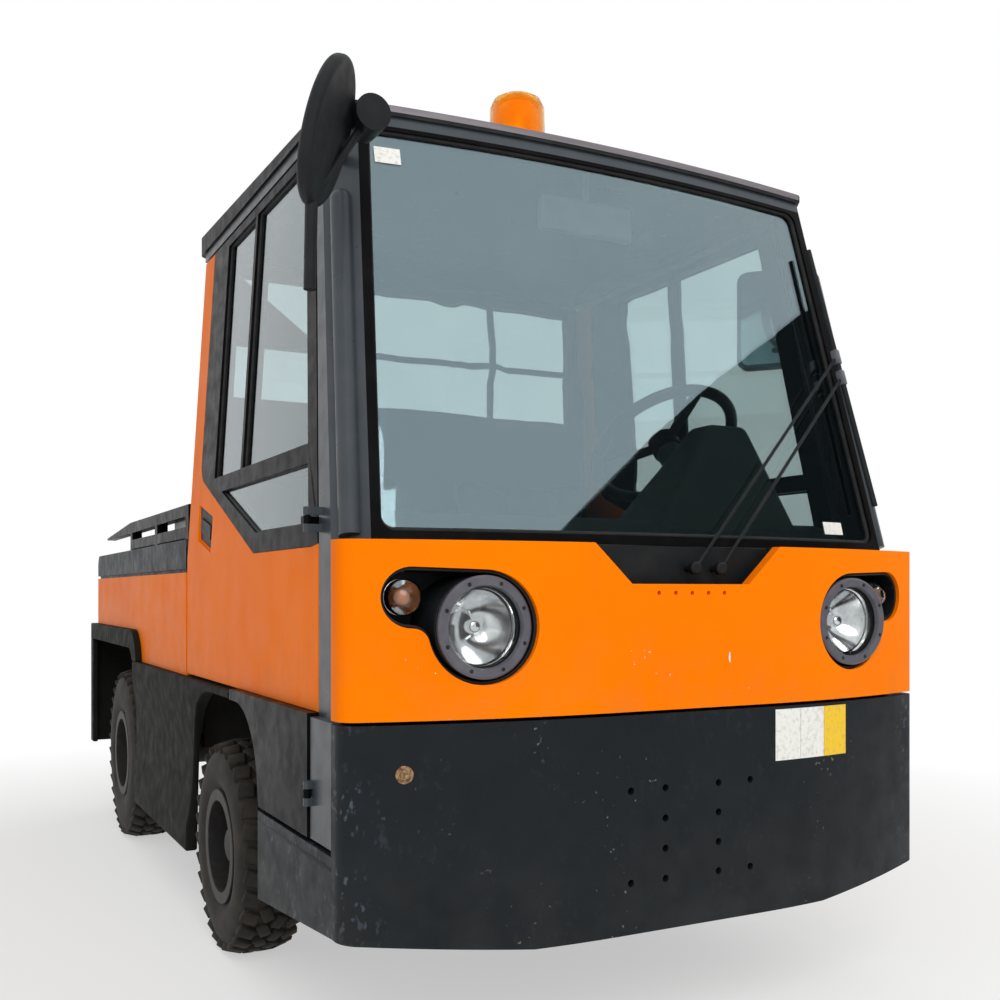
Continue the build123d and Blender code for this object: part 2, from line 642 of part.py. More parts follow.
# Doors: orange leaf with its rear upright, dark window frame and lower panel, three panes
window_back = CAB_BACK - WINDOW_REAR_GAP
window_low = window_back - 542
window_z = BELT_Z + 202
window_face = side_face([(DOOR_FRONT + 40, BELT_Z - 5), (window_low, BELT_Z - 5), (window_back, window_z),
                         (window_back, DOOR_TOP_Z), (DOOR_FRONT_TOP, DOOR_TOP_Z), (DOOR_FRONT, BELT_Z)])
window_corner = [v for v in window_face.vertices() if abs(v.Y - window_z) < OVERCUT]
window_block = side_cut(fillet(window_corner, WINDOW_R), 0, HALF)
leaf_low = [(DOOR_FRONT, PANEL_FOOT_Z), (DOOR_BACK, PANEL_FOOT_Z), (DOOR_BACK, BELT_Z),
            (DOOR_FRONT, BELT_Z)]
leaf_high = [(DOOR_FRONT, BELT_Z), (DOOR_BACK, BELT_Z), (DOOR_BACK, DOOR_TOP_Z),
             (DOOR_FRONT_TOP, DOOR_TOP_Z)]
leaf = side_plate(leaf_low, BELT_HALF - WALL, BELT_HALF) + (side_wall & side_plate(leaf_high, 0, HALF))
handle_back = window_back - 5
handle_front = handle_back - HANDLE_L
handle_z = BELT_Z + HANDLE_RISE
handle_low = handle_z - HANDLE_SLANT
handle = [(handle_back, handle_z), (handle_front, handle_low), (handle_front, handle_low + HANDLE_H),
          (handle_back, handle_z + HANDLE_H)]
door_skin = leaf - window_block
door_skin -= side_plate(handle, BELT_HALF - HANDLE_DEPTH, HALF)
door_window = leaf & window_block
low_foot = BELT_Z + PANE_BAR
low_head = low_foot + PANE_LOW_H
high_foot = low_head + PANE_BAR
high_head = DOOR_TOP_Z - FRAME_W
mid_bar = (DOOR_FRONT + DOOR_BACK) / 2 + 34
rake = (DOOR_FRONT_TOP - DOOR_FRONT) / (DOOR_TOP_Z - BELT_Z)


def pane_front(z):
    """Front edge of the side panes at height z, along the raked pillar."""
    return DOOR_FRONT + rake * (z - BELT_Z) + 55


panes = [
    [(pane_front(low_foot), low_foot), (window_low - 8, low_foot), (window_low + 312, low_head),
     (pane_front(low_head), low_head)],
    [(pane_front(high_foot), high_foot), (mid_bar - PANE_POST, high_foot), (mid_bar - PANE_POST, high_head),
     (pane_front(high_head), high_head)],
    [(mid_bar + PANE_POST, high_foot), (window_back - 150, high_foot), (window_back - 150, high_head),
     (mid_bar + PANE_POST, high_head)],
]
pane_blocks = [side_plate(points, 0, HALF) for points in panes]
door_glass = []
for block in pane_blocks:
    door_window -= block
    door_glass.append(pane & block)
lower = [(DOOR_FRONT, DOOR_FOOT_Z), (DOOR_LOWER_END, DOOR_FOOT_Z), (DOOR_LOWER_END, PANEL_FOOT_Z),
         (DOOR_FRONT, PANEL_FOOT_Z)]
door_lower = side_plate(lower, BELT_HALF - WALL, HALF) - arch
door_lower = door_lower.solids().sort_by(SortBy.VOLUME)[-1]


def door_hinge(z, root):
    """Knuckle on the door's pin line, its strap let into the door at root."""
    z0 = z - HINGE_H / 2
    z1 = z + HINGE_H / 2
    strap_y = back(DOOR_FRONT + HINGE_STRAP)
    hinge = post(HINGE_X, hinge_y, HINGE_R, z0, z1)
    hinge += slab(HINGE_X - HINGE_R, HINGE_X, hinge_y, strap_y, z0, z1)
    hinge += slab(root, HINGE_X, strap_y - HINGE_H, strap_y, z0, z1)
    return hinge - post(HINGE_X, hinge_y, HINGE_PIN_R + PIN_GAP, z0 - OVERCUT, z1 + OVERCUT)


door_lower += door_hinge(hinge_levels[0], HALF - PANEL_T)
door_window += door_hinge(hinge_levels[1], BELT_HALF - PANEL_T)
save_sides("door_panel", door_skin)
save_sides("door_frame", door_window + door_lower)
save_sides("door_glass", Compound(children=door_glass))

# Front axle, tyres with lugs, rims and knuckles
front_z = FRONT_TYRE_R
rear_z = REAR_TYRE_R
axle_y = back(FRONT_AXLE)
drive_y = back(REAR_AXLE)
pin_over = EAR_T + 1
beam = slab(-KINGPIN_X, KINGPIN_X, axle_y - BEAM_L / 2, axle_y + BEAM_L / 2,
            front_z - BEAM_H / 2, front_z + BEAM_H / 2)
end = post(KINGPIN_X, axle_y, BOSS_R, front_z - BOSS_H / 2, front_z + BOSS_H / 2)
end += post(KINGPIN_X, axle_y, KINGPIN_R, front_z - BOSS_H / 2 - pin_over, front_z + BOSS_H / 2 + pin_over)
end += slab(rail_in, rail_out, axle_y - BEAM_L / 2, axle_y + BEAM_L / 2, front_z, RAIL_Z)
save("front_axle", beam + pair(end))


def lug_ring(radius, root, phase):
    """Cross-section of one row of lugs: flat tops at radius, hollows at root, from the angle phase on."""
    pitch = 2 * math.pi / LUGS
    points = []
    for k in range(LUGS):
        lead = phase + k * pitch
        trail = lead + LUG_SHARE * pitch
        ramp = LUG_RAMP * pitch
        corners = [(root, lead - ramp), (radius, lead), (radius, trail), (root, trail + ramp)]
        points += [(r * math.cos(a), r * math.sin(a)) for r, a in corners]
    return Polygon(*points)


def tyre_solid(radius, width, rim_r):
    """Tyre on an axle along X through the origin: turned body, two rows of lugs half a pitch apart."""
    edge = width / 2
    bead_x = edge - 13
    tread = radius - LUG_DEPTH
    shoulder = radius - 3 * LUG_DEPTH
    profile = [(bead_x, rim_r - 14), (bead_x, rim_r + 3), (edge, rim_r + 28), (edge, shoulder),
               (edge - LUG_DEPTH, tread)]
    mirrored = [(-x, r) for x, r in reversed(profile)]
    tyre = revolve(Polygon(*profile, *mirrored), Axis.X)
    root = tread - 3
    share = (radius - LUG_DEPTH) / radius
    bore = extrude(Plane.YZ.offset(-edge) * Circle(shoulder), width, dir=(1, 0, 0))
    for side in (1, -1):
        phase = -math.pi / 2 + (side - 1) * math.pi / 2 / LUGS
        inner = Plane.YZ.offset(side * LUG_GROOVE / 2) * lug_ring(radius, root, phase)
        outer = Plane.YZ.offset(side * (edge - 1)) * lug_ring(radius * share, root * share, phase)
        tyre += loft([inner, outer], ruled=True) - bore
    return tyre


def rim_solid(width, rim_r):
    """Dished rim with hub, its outer side to +X, on an axle through the origin."""
    skin = rim_r - 14 - SEAT_GAP
    well = skin - SHEET
    lip = width / 2 - 13 + SEAT_GAP
    flange = lip + 8
    bore = SPINDLE_R + PIN_GAP
    profile = [(-flange, rim_r), (-lip, rim_r), (-lip, skin), (lip, skin), (lip, rim_r), (flange, rim_r),
               (flange, well), (-4, well), (-4, HUB_R), (34, HUB_R - 6), (34, bore), (-46, bore),
               (-46, HUB_R), (-18, HUB_R), (-18, well), (-flange, well)]
    return revolve(Polygon(*profile), Axis.X)


front_mid = FRONT_OUTER - FRONT_TYRE_W / 2
rear_mid = REAR_OUTER - REAR_TYRE_W / 2
front_hub = Pos(front_mid, axle_y, front_z)
rear_hub = Pos(rear_mid, drive_y, rear_z)
save_sides("tyre_front", front_hub * tyre_solid(FRONT_TYRE_R, FRONT_TYRE_W, FRONT_RIM_R))
save_sides("rim_front", front_hub * rim_solid(FRONT_TYRE_W, FRONT_RIM_R))
save_sides("tyre_rear", rear_hub * tyre_solid(REAR_TYRE_R, REAR_TYRE_W, REAR_RIM_R))
save_sides("rim_rear", rear_hub * rim_solid(REAR_TYRE_W, REAR_RIM_R))

ear_in = BOSS_H / 2 + 1
ear_out = ear_in + EAR_T
plate_in = KINGPIN_X + BOSS_R + 4
plate_out = plate_in + 16
knuckle = slab(plate_in, plate_out, axle_y - 30, axle_y + 30, front_z - ear_out, front_z + ear_out)
for z0 in (front_z - ear_out, front_z + ear_in):
    ear = post(KINGPIN_X, axle_y, EAR_R, z0, z0 + EAR_T)
    ear += slab(KINGPIN_X, plate_in + 1, axle_y - EAR_R, axle_y + EAR_R, z0, z0 + EAR_T)
    knuckle += ear - post(KINGPIN_X, axle_y, KINGPIN_R + PIN_GAP, z0 - OVERCUT, z0 + EAR_T + OVERCUT)
hub_end = 32
knuckle += bar((plate_in + 8, axle_y, front_z), (front_mid + hub_end, axle_y, front_z), SPINDLE_R)
save_sides("knuckle", knuckle)

# Rear axle: tubes, drive housing and spring pads
rear_axle = bar((-rear_mid + 60, drive_y, rear_z), (rear_mid - 60, drive_y, rear_z), AXLE_R)
rear_axle += bar((-rear_mid - hub_end, drive_y, rear_z), (rear_mid + hub_end, drive_y, rear_z), SPINDLE_R)
rear_axle += bar((-rail_in + 20, drive_y, rear_z), (rail_in - 20, drive_y, rear_z), DRIVE_R)
rear_axle += pair(slab(rail_in, rail_out, drive_y - AXLE_R, drive_y + AXLE_R, rear_z, RAIL_Z))
save("rear_axle", rear_axle)

# Side skirts: hollowed outer face, the arch band runs forward over the wheel
band_front = DOOR_LOWER_END + SWING_GAP
hollow_foot = SKIRT_FOOT_Z + 65
skirt_outline = [(band_front, ARCH_TOP_Z - OVERCUT), (band_front, WAIST_Z), (SKIRT_BACK - 10, WAIST_Z),
                 (SKIRT_BACK, hollow_foot), (SKIRT_BACK - 60, SKIRT_FOOT_Z), (band_front, SKIRT_FOOT_Z)]
hollow_head = WAIST_Z - 57
skirt_section = make_face([
    Polyline((HALF, hollow_head), (HALF, WAIST_Z), (SKIRT_IN, WAIST_Z), (SKIRT_IN, SKIRT_FOOT_Z),
             (HALF, SKIRT_FOOT_Z), (HALF, hollow_foot)),
    ThreePointArc((HALF, hollow_foot), (HALF - SKIRT_T / 2, (hollow_foot + hollow_head) / 2),
                  (HALF, hollow_head)),
])
skirt = front_cut(skirt_section, back(DOOR_LOWER_END), back(SKIRT_BACK))
skirt = (skirt & side_plate(skirt_outline, SKIRT_IN, HALF)) - arch
save("side_skirts", pair(skirt))

# Rear mudguards: arched sheet with a deep outer lip
def guard_block(inset, x0, x1):
    points = [(GUARD_FRONT + inset, GUARD_FOOT_Z), (GUARD_FRONT + inset, GUARD_TOP_Z - inset),
              (GUARD_BACK - inset, GUARD_TOP_Z - inset), (GUARD_BACK - inset, GUARD_FOOT_Z)]
    face = side_face(points)
    top = face.vertices().group_by(Axis.Y)[-1].sort_by(Axis.X)
    return side_cut(fillet(top[0], GUARD_R - inset / 2), x0, x1)


guard = guard_block(0, GUARD_IN, HALF) - guard_block(GUARD_T, GUARD_IN - OVERCUT, HALF + OVERCUT)
lip_in = HALF - GUARD_LIP_T
guard += guard_block(0, lip_in, HALF) - guard_block(GUARD_LIP, lip_in - OVERCUT, HALF + OVERCUT)
guard -= slab(0, HALF + OVERCUT, back(GUARD_FRONT - OVERCUT), drive_y, 0, WAIST_Z + SEAT_GAP)
save("rear_mudguards", pair(guard))

# Orange rear body: two sides and the back panel with hinge lugs
body_front_y = cab_back_y + SEAM
body_back_y = back(BODY_BACK)
body_side = slab(BODY_IN, BELT_HALF, body_front_y, body_back_y, WAIST_Z, DECK_Z)
body_side -= guard_block(-SEAT_GAP, 0, HALF + OVERCUT)
body = pair(body_side)
body += slab(-BELT_HALF, BELT_HALF, body_back_y - PANEL_T, body_back_y, GUARD_TOP_Z + 1, DECK_Z)
tail_half = GUARD_IN - 5
body += slab(-tail_half, tail_half, body_back_y - PANEL_T, body_back_y, WAIST_Z - 17, DECK_Z)
lid_hinge_y = body_back_y + LID_HINGE_BACK
lug_w = 24
knuckle_half = 30
for x in (-LID_HINGE_X, LID_HINGE_X):
    for x0 in (x - knuckle_half - 1 - lug_w, x + knuckle_half + 1):
        body += slab(x0, x0 + lug_w, body_back_y - 2, lid_hinge_y, DECK_Z - 60, DECK_Z)
        body += bar((x0, lid_hinge_y, DECK_Z), (x0 + lug_w, lid_hinge_y, DECK_Z), LID_HINGE_R)
    body += bar((x - 40, lid_hinge_y, DECK_Z), (x + 40, lid_hinge_y, DECK_Z), LID_PIN_R)
save("rear_body", body)

# Deck lid: hollow cover with a stepped foot, raised load plate and hinge knuckles
lid_foot = DECK_Z + SEAT_GAP
step_z = lid_foot + 9
rim_top = LID_TOP_Z - LID_RIM
lid = slab(-BELT_HALF, BELT_HALF, body_front_y, body_back_y, step_z, rim_top)
lid = fillet(lid.edges().group_by(Axis.Z)[-1].sort_by(Axis.Y)[-1], LID_EDGE_R)
step = slab(-BELT_HALF + 8, BELT_HALF - 8, body_front_y + 8, body_back_y - 8, lid_foot, step_z)
lid += step
lid -= slab(-BODY_IN, BODY_IN, body_front_y + 25, body_back_y - 45, lid_foot - OVERCUT, rim_top - SHEET)
rail_mid = BELT_HALF - LOAD_RAIL_IN
plate_half = rail_mid - LOAD_RAIL_W
lid += slab(-plate_half, plate_half, body_front_y + 60, body_back_y - 2 * LID_EDGE_R, rim_top, LID_TOP_Z)
for x in (-LID_HINGE_X, LID_HINGE_X):
    x0 = x - knuckle_half
    x1 = x + knuckle_half
    knuckle = bar((x0, lid_hinge_y, DECK_Z), (x1, lid_hinge_y, DECK_Z), LID_HINGE_R)
    knuckle += slab(x0, x1, body_back_y - 20, lid_hinge_y, DECK_Z + 9.5, DECK_Z + 2 * LID_HINGE_R)
    knuckle += slab(x0, x1, lid_hinge_y - 6, lid_hinge_y + 6, DECK_Z, DECK_Z + 2 * LID_HINGE_R)
    bore_start = (x0 - OVERCUT, lid_hinge_y, DECK_Z)
    bore_end = (x1 + OVERCUT, lid_hinge_y, DECK_Z)
    lid += knuckle - bar(bore_start, bore_end, LID_PIN_R + PIN_GAP)
save("deck_lid", lid)

# Load rails on the lid: two bars on three posts, the upper one runs on to a tapered tip
rail_top = LID_TOP_Z + LOAD_RAIL_H
rail_x0 = rail_mid - LOAD_RAIL_W / 2
rail_x1 = rail_mid + LOAD_RAIL_W / 2
rail_start = CAB_BACK + 60
rail_tip = BODY_BACK - 110
rail_run = rail_start + 0.64 * (rail_tip - rail_start)
upper = [(rail_start, rail_top), (rail_run, rail_top), (rail_tip, rail_top - LOAD_RAIL_W),
         (rail_tip, rail_top - LOAD_RAIL_W - 8), (rail_start, rail_top - LOAD_RAIL_W)]
rails = side_plate(upper, rail_x0, rail_x1)
low_top = rail_top - LOAD_RAIL_DROP
rails += slab(rail_x0, rail_x1, back(rail_start), back(rail_run), low_top - LOAD_RAIL_W, low_top)
post_half = 20
for k in range(3):
    d = rail_start + post_half + k * (rail_run - rail_start - 2 * post_half) / 2
    rails += slab(rail_x0, rail_x1, back(d - post_half), back(d + post_half), rim_top,
                  rail_top - LOAD_RAIL_W)
save("deck_rails", pair(rails))

# Battery, rear bumper, stepped tow coupling and rear lamps
battery_half = BODY_IN - BATTERY_IN
battery_y = cab_back_y + BATTERY_GAP
save("battery", slab(-battery_half, battery_half, battery_y, battery_y + BATTERY_L, FLOOR_Z, DECK_Z - 37))
jaw_y = plate_back_y + REAR_BUMPER_T
bumper_half = GUARD_IN - 15
save("rear_bumper", slab(-bumper_half, bumper_half, plate_back_y, jaw_y, RAIL_Z - 75, WAIST_Z - 27))
jaw_foot = RAIL_Z - 45
jaw_back_y = jaw_y + 14
coupling = slab(-0.75 * JAW_W, 0.75 * JAW_W, jaw_y, jaw_back_y, jaw_foot, jaw_foot + JAW_H)
for k in range(4):
    z = jaw_foot + 10 + k * JAW_PITCH
    coupling += slab(-JAW_W / 2, JAW_W / 2, jaw_back_y, REAR_Y, z, z + JAW_PLATE_T)
coupling += post(0, REAR_Y - JAW_PIN_END, JAW_PIN_R, jaw_foot, jaw_foot + JAW_H + JAW_PIN_END)
save("tow_coupling", coupling)
lamp_out = GUARD_IN - 25
lamp_z = DECK_Z - 127
save("rear_lamps", pair(slab(lamp_out - 100, lamp_out, body_back_y, body_back_y + 20, lamp_z, lamp_z + 60)))

# Dashboard, steering hump with column, steering wheel
dash_front = COWL_BACK + SHEET
dash_back = dash_front + 218
dash = [(dash_front, BELT_Z - 122), (dash_front, BELT_Z - 22), (dash_front + 45, BELT_Z + 33),
        (dash_back - 100, BELT_Z + 63), (dash_back, BELT_Z + 28), (dash_back, BELT_Z - 62),
        (dash_back - 60, BELT_Z - 122)]
dash_half = INNER_HALF - 30
save("dashboard", side_plate(dash, -dash_half, dash_half))
wheel_x = BELT_HALF - WHEEL_SIDE
wheel_z = BELT_Z + WHEEL_RISE
tilt = math.radians(WHEEL_TILT)
axis_dir = Vector(0, math.sin(tilt), math.cos(tilt))
hub = Vector(wheel_x, back(WHEEL_BACK), wheel_z)


def hump_section(z, x0, x1, d0, d1):
    middle = Pos((x0 + x1) / 2, back((d0 + d1) / 2))
    return Plane.XY.offset(z) * (middle * Rectangle(x1 - x0, d1 - d0))


hump_foot = hump_section(BELT_Z + 20, wheel_x - 290, wheel_x + 120, dash_front + 60, WHEEL_BACK - 140)
hump_head = hump_section(wheel_z + 15, wheel_x - 60, wheel_x + 40, WHEEL_BACK - 260, WHEEL_BACK - 170)
hump = loft([hump_foot, hump_head], ruled=True)
hump = fillet(hump.edges().sort_by(Axis.Z)[4:], 25)
column = hump + bar(hub - axis_dir * 260, hub - axis_dir * (WHEEL_HUB_H / 2 + PIN_GAP), COLUMN_R)
save("steering_column", column - side_plate(dash, -HALF, HALF))
wheel_plane = Plane(origin=hub, x_dir=(1, 0, 0), z_dir=axis_dir)
steering = wheel_plane * Torus(WHEEL_R, WHEEL_GRIP)
steering += wheel_plane * Cylinder(WHEEL_HUB_R, WHEEL_HUB_H)
spoke = Pos(WHEEL_R / 2 + 10, 0, 0) * Box(WHEEL_R - 20, 26, 8)
for angle in (30, 150, 270):
    steering += wheel_plane * (Rot(0, 0, angle) * spoke)
save("steering_wheel", steering)

# Seats: cushion and leaning backrest on a box each
seat_out = BELT_HALF - WALL - SEAT_SIDE
seat_x = (SEAT_INNER + seat_out) / 2
seat_w = seat_out - SEAT_INNER
seat_top = SEAT_DECK_Z + SEAT_H
seat_back = CAB_BACK - 60
base_half = seat_w / 2 - 50
base_foot = seat_top - CUSHION_T
save("seat_bases", pair(slab(seat_x - base_half, seat_x + base_half, back(seat_back - SEAT_L + 60),
                             back(seat_back - 10), deck_top, base_foot)))


def pad(length, height):
    return fillet(Box(seat_w, length, height).edges(), CUSHION_T / 3)


cushion = Pos(seat_x, back(seat_back - SEAT_L / 2), base_foot + CUSHION_T / 2) * pad(SEAT_L, CUSHION_T)
lean = Pos(seat_x, back(seat_back - CUSHION_T), seat_top - 30) * Rot(-BACKREST_LEAN, 0, 0)
backrest = lean * Pos(0, 0, BACKREST_H / 2) * pad(CUSHION_T, BACKREST_H)
save("seats", pair(cushion + backrest))

# Left mirror: square head facing forward on a loop bracket, carried by the door
mirror_z = RING_Z - 105
left_z = mirror_z - 78
left_half = cab_edges((left_z - BELT_Z) / CAB_H, 0)[0]
left_head = fillet(Box(MIRROR_T, LEFT_MIRROR_W, MIRROR_H).edges().filter_by(Axis.X), MIRROR_T)
left_head = Rot(0, 0, LEFT_MIRROR_YAW) * left_head
head_reach = left_head.bounding_box().max.X
left_x = left_half + MIRROR_GAP + head_reach
loop_face = Ellipse(LOOP_W / 2, LOOP_H / 2) - Ellipse(LOOP_W / 2 - SHEET, LOOP_H / 2 - SHEET)
loop = Rot(0, 0, LEFT_MIRROR_YAW) * extrude(Plane.YZ * loop_face, SHEET, dir=(1, 0, 0))
loop_place = Vector(left_half + LOOP_W / 2, back(LEFT_MIRROR_BACK - LOOP_LEAD), left_z + SHEET)
loop_foot = loop_place - Vector(0, 0, LOOP_H / 2 - SHEET / 2)
door_end = Vector(left_half - GLASS_SINK, back(pane_front(loop_foot.Z) - 1.5 * PANE_BAR), loop_foot.Z)
head_end = Vector(left_x, back(LEFT_MIRROR_BACK), loop_foot.Z)
bracket = Pos(loop_place) * loop
bracket += bar(door_end, loop_foot, MIRROR_ROD_R) + bar(loop_foot, head_end, MIRROR_ROD_R)
left_mirror = Pos(left_x, back(LEFT_MIRROR_BACK), left_z) * left_head
save("mirror_left", (bracket - cab_outer) + left_mirror)

# Right mirror: oval head turned edge-on, on a stem, a rod and a clamp knob ahead of the pillar
head_face = Plane.YZ * Ellipse(MIRROR_W / 2, MIRROR_H / 2)
head = Pos(-MIRROR_T / 2, 0, 0) * extrude(head_face, MIRROR_T, dir=(1, 0, 0))
head = fillet(head.edges(), MIRROR_T * 0.4)
head = Rot(0, 0, MIRROR_YAW) * Rot(0, MIRROR_LEAN, 0) * head
yaw = math.radians(MIRROR_YAW)
lean_angle = math.radians(MIRROR_LEAN)
up_flat = math.sin(lean_angle)
up = Vector(math.cos(yaw) * up_flat, math.sin(yaw) * up_flat, math.cos(lean_angle))
head_x = -left_mirror.bounding_box().max.X - head.bounding_box().min.X
centre = Vector(head_x, back(MIRROR_T), mirror_z - SHEET)
foot = centre - up * (MIRROR_H / 2 - SHEET)
knob_z = RING_Z - 66
half_at, front_at = cab_edges((knob_z - BELT_Z) / CAB_H, 0)
knob = Vector(-half_at + SEAM, back(front_at - 150), knob_z)
knob_half = Vector(0, MIRROR_KNOB_R, 0)
pillar_end = Vector(-half_at + PILLAR_W / 2, back(front_at + PILLAR_L), knob_z)
mirror_arm = bar(foot + up * SHEET, foot - Vector(0, 0, MIRROR_STEM), MIRROR_ROD_R * 1.5)
mirror_arm += bar(knob, foot - Vector(0, 0, SHEET), MIRROR_ROD_R)
mirror_arm += bar(knob - knob_half, knob + knob_half, MIRROR_KNOB_R)
mirror_arm += bar(knob, pillar_end, MIRROR_ROD_R * 1.4) - cab_outer
save("mirror_right", mirror_arm + Pos(centre) * head)

# Wiper: two links from the cowl tray to a blade along the left edge of the windscreen
blade_foot = Vector(seam_foot - 16, back(SCREEN_FOOT), BELT_Z + 98)
blade_head = Vector(seam_head - 8, back(SCREEN_HEAD - 49), RING_Z - 100)
wiper = bar(blade_foot, blade_head, WIPER_BLADE_R)
pivot_z = BELT_Z - COWL_T
for x, share in ((30, 0.57), (90, 0.49)):
    joint = blade_foot + (blade_head - blade_foot) * share
    wiper += bar((x, tray_back_y, pivot_z), (x, tray_back_y - TRAY_L + 4, pivot_z), 2 * WIPER_ROD_R)
    wiper += bar((x, tray_back_y - TRAY_L + 8, pivot_z), joint, WIPER_ROD_R)
save("wiper", wiper)

# Cab mirror under the front of the roof ring
cab_mirror_y = back(SCREEN_HEAD + 60)
stalk = post(0, cab_mirror_y, MIRROR_ROD_R, RING_Z - 60, ROOF_Z - SEAT_GAP)
view_pad = fillet(Box(230, 24, 76).edges(), 11)
save("cab_mirror", stalk + Pos(0, cab_mirror_y, RING_Z - 80) * view_pad)
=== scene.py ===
"""Electric tow tractor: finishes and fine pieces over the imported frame. Metres, front -Y, its left +X."""

import json
import math

import bmesh
import bpy
from mathutils import Euler, Matrix, Vector


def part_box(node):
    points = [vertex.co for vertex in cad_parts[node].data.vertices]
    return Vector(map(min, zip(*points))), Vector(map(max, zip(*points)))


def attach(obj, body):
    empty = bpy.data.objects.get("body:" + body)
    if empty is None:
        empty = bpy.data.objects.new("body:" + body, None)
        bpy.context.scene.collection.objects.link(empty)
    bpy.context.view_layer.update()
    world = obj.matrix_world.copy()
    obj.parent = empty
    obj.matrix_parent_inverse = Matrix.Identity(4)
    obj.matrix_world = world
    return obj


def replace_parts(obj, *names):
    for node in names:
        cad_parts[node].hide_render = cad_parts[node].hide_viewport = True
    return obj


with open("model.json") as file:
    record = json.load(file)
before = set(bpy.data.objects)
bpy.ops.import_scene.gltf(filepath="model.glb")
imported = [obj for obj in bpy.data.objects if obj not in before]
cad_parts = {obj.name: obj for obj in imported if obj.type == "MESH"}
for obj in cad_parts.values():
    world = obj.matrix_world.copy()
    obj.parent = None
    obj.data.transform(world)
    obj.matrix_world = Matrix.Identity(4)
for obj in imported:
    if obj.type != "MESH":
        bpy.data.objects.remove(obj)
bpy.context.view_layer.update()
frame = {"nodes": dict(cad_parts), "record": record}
NODES = frame["nodes"]

MM = 0.001
SIDES = (("left", 1), ("right", -1))

# Datum lines read from the frame
NOSE_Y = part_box("front_bumper")[0].y
CORNER_Y = NOSE_Y + 76 * MM
BELT_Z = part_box("front_panel")[1].z


def back(distance_mm):
    """Y at a distance behind the nose corner line."""
    return CORNER_Y + distance_mm * MM


# Finishes


def linear(colour):
    """sRGB hex to a linear colour."""
    parts = [int(colour[i:i + 2], 16) / 255 for i in (1, 3, 5)]
    return tuple(p / 12.92 if p <= 0.04045 else ((p + 0.055) / 1.055) ** 2.4 for p in parts) + (1,)


def add(tree, kind, sockets=None, **settings):
    """One node with its settings; a socket's value is a number, a colour or another node's output."""
    node = tree.nodes.new(kind)
    for name, value in settings.items():
        setattr(node, name, value)
    for name, value in (sockets or {}).items():
        if isinstance(value, bpy.types.NodeSocket):
            tree.links.new(value, node.inputs[name])
        else:
            node.inputs[name].default_value = value
    return node


def per_mm(size):
    """Noise scale whose features are about size millimetres."""
    return 1 / (size * MM)


def new_finish(name):
    """Empty material: its tree, its shader and the object coordinates."""
    material = bpy.data.materials.new(name)
    material.use_nodes = True
    tree = material.node_tree
    tree.nodes.clear()
    shader = add(tree, "ShaderNodeBsdfPrincipled")
    add(tree, "ShaderNodeOutputMaterial", {"Surface": shader.outputs["BSDF"]})
    place = add(tree, "ShaderNodeTexCoord").outputs["Object"]
    return material, tree, shader, place


def patches(tree, place, size, low, high, stretch=(1, 1, 1), detail=4):
    """Soft-edged patches of about size millimetres: 0 outside, 1 inside."""
    drawn = add(tree, "ShaderNodeMapping", {"Vector": place, "Scale": stretch}).outputs[0]
    noise = add(tree, "ShaderNodeTexNoise", {"Vector": drawn, "Scale": per_mm(size), "Detail": detail})
    ramp = add(tree, "ShaderNodeMapRange", {"Value": noise.outputs["Fac"], "From Min": low, "From Max": high})
    return ramp.outputs["Result"]


def near_ground(tree, place, low, high):
    """1 at height low, 0 at height high, in millimetres."""
    split = add(tree, "ShaderNodeSeparateXYZ", {"Vector": place})
    sockets = {"Value": split.outputs["Z"], "From Min": high * MM, "From Max": low * MM}
    return add(tree, "ShaderNodeMapRange", sockets).outputs["Result"]


def times(tree, a, b):
    """Product of two patterns or numbers."""
    return add(tree, "ShaderNodeMath", {0: a, 1: b}, operation="MULTIPLY").outputs[0]


def over(tree, base, top, amount):
    """Colour top laid over base where amount is 1."""
    mix = add(tree, "ShaderNodeMix", data_type="RGBA")
    for name, value in (("Factor_Float", amount), ("A_Color", base), ("B_Color", top)):
        socket = next(s for s in mix.inputs if s.identifier == name)
        if isinstance(value, bpy.types.NodeSocket):
            tree.links.new(value, socket)
        else:
            socket.default_value = value
    return next(s for s in mix.outputs if s.identifier == "Result_Color")


def grain(tree, shader, place, size, depth):
    """Fine surface relief: grains of about size millimetres, depth millimetres deep."""
    noise = add(tree, "ShaderNodeTexNoise", {"Vector": place, "Scale": per_mm(size), "Detail": 2})
    sockets = {"Height": noise.outputs["Fac"], "Strength": 0.5, "Distance": depth * MM}
    bump = add(tree, "ShaderNodeBump", sockets)
    tree.links.new(bump.outputs["Normal"], shader.inputs["Normal"])


def spread(tree, value, low, high):
    """A 0 to 1 pattern spread between two numbers."""
    return add(tree, "ShaderNodeMapRange", {"Value": value, "To Min": low, "To Max": high}).outputs["Result"]


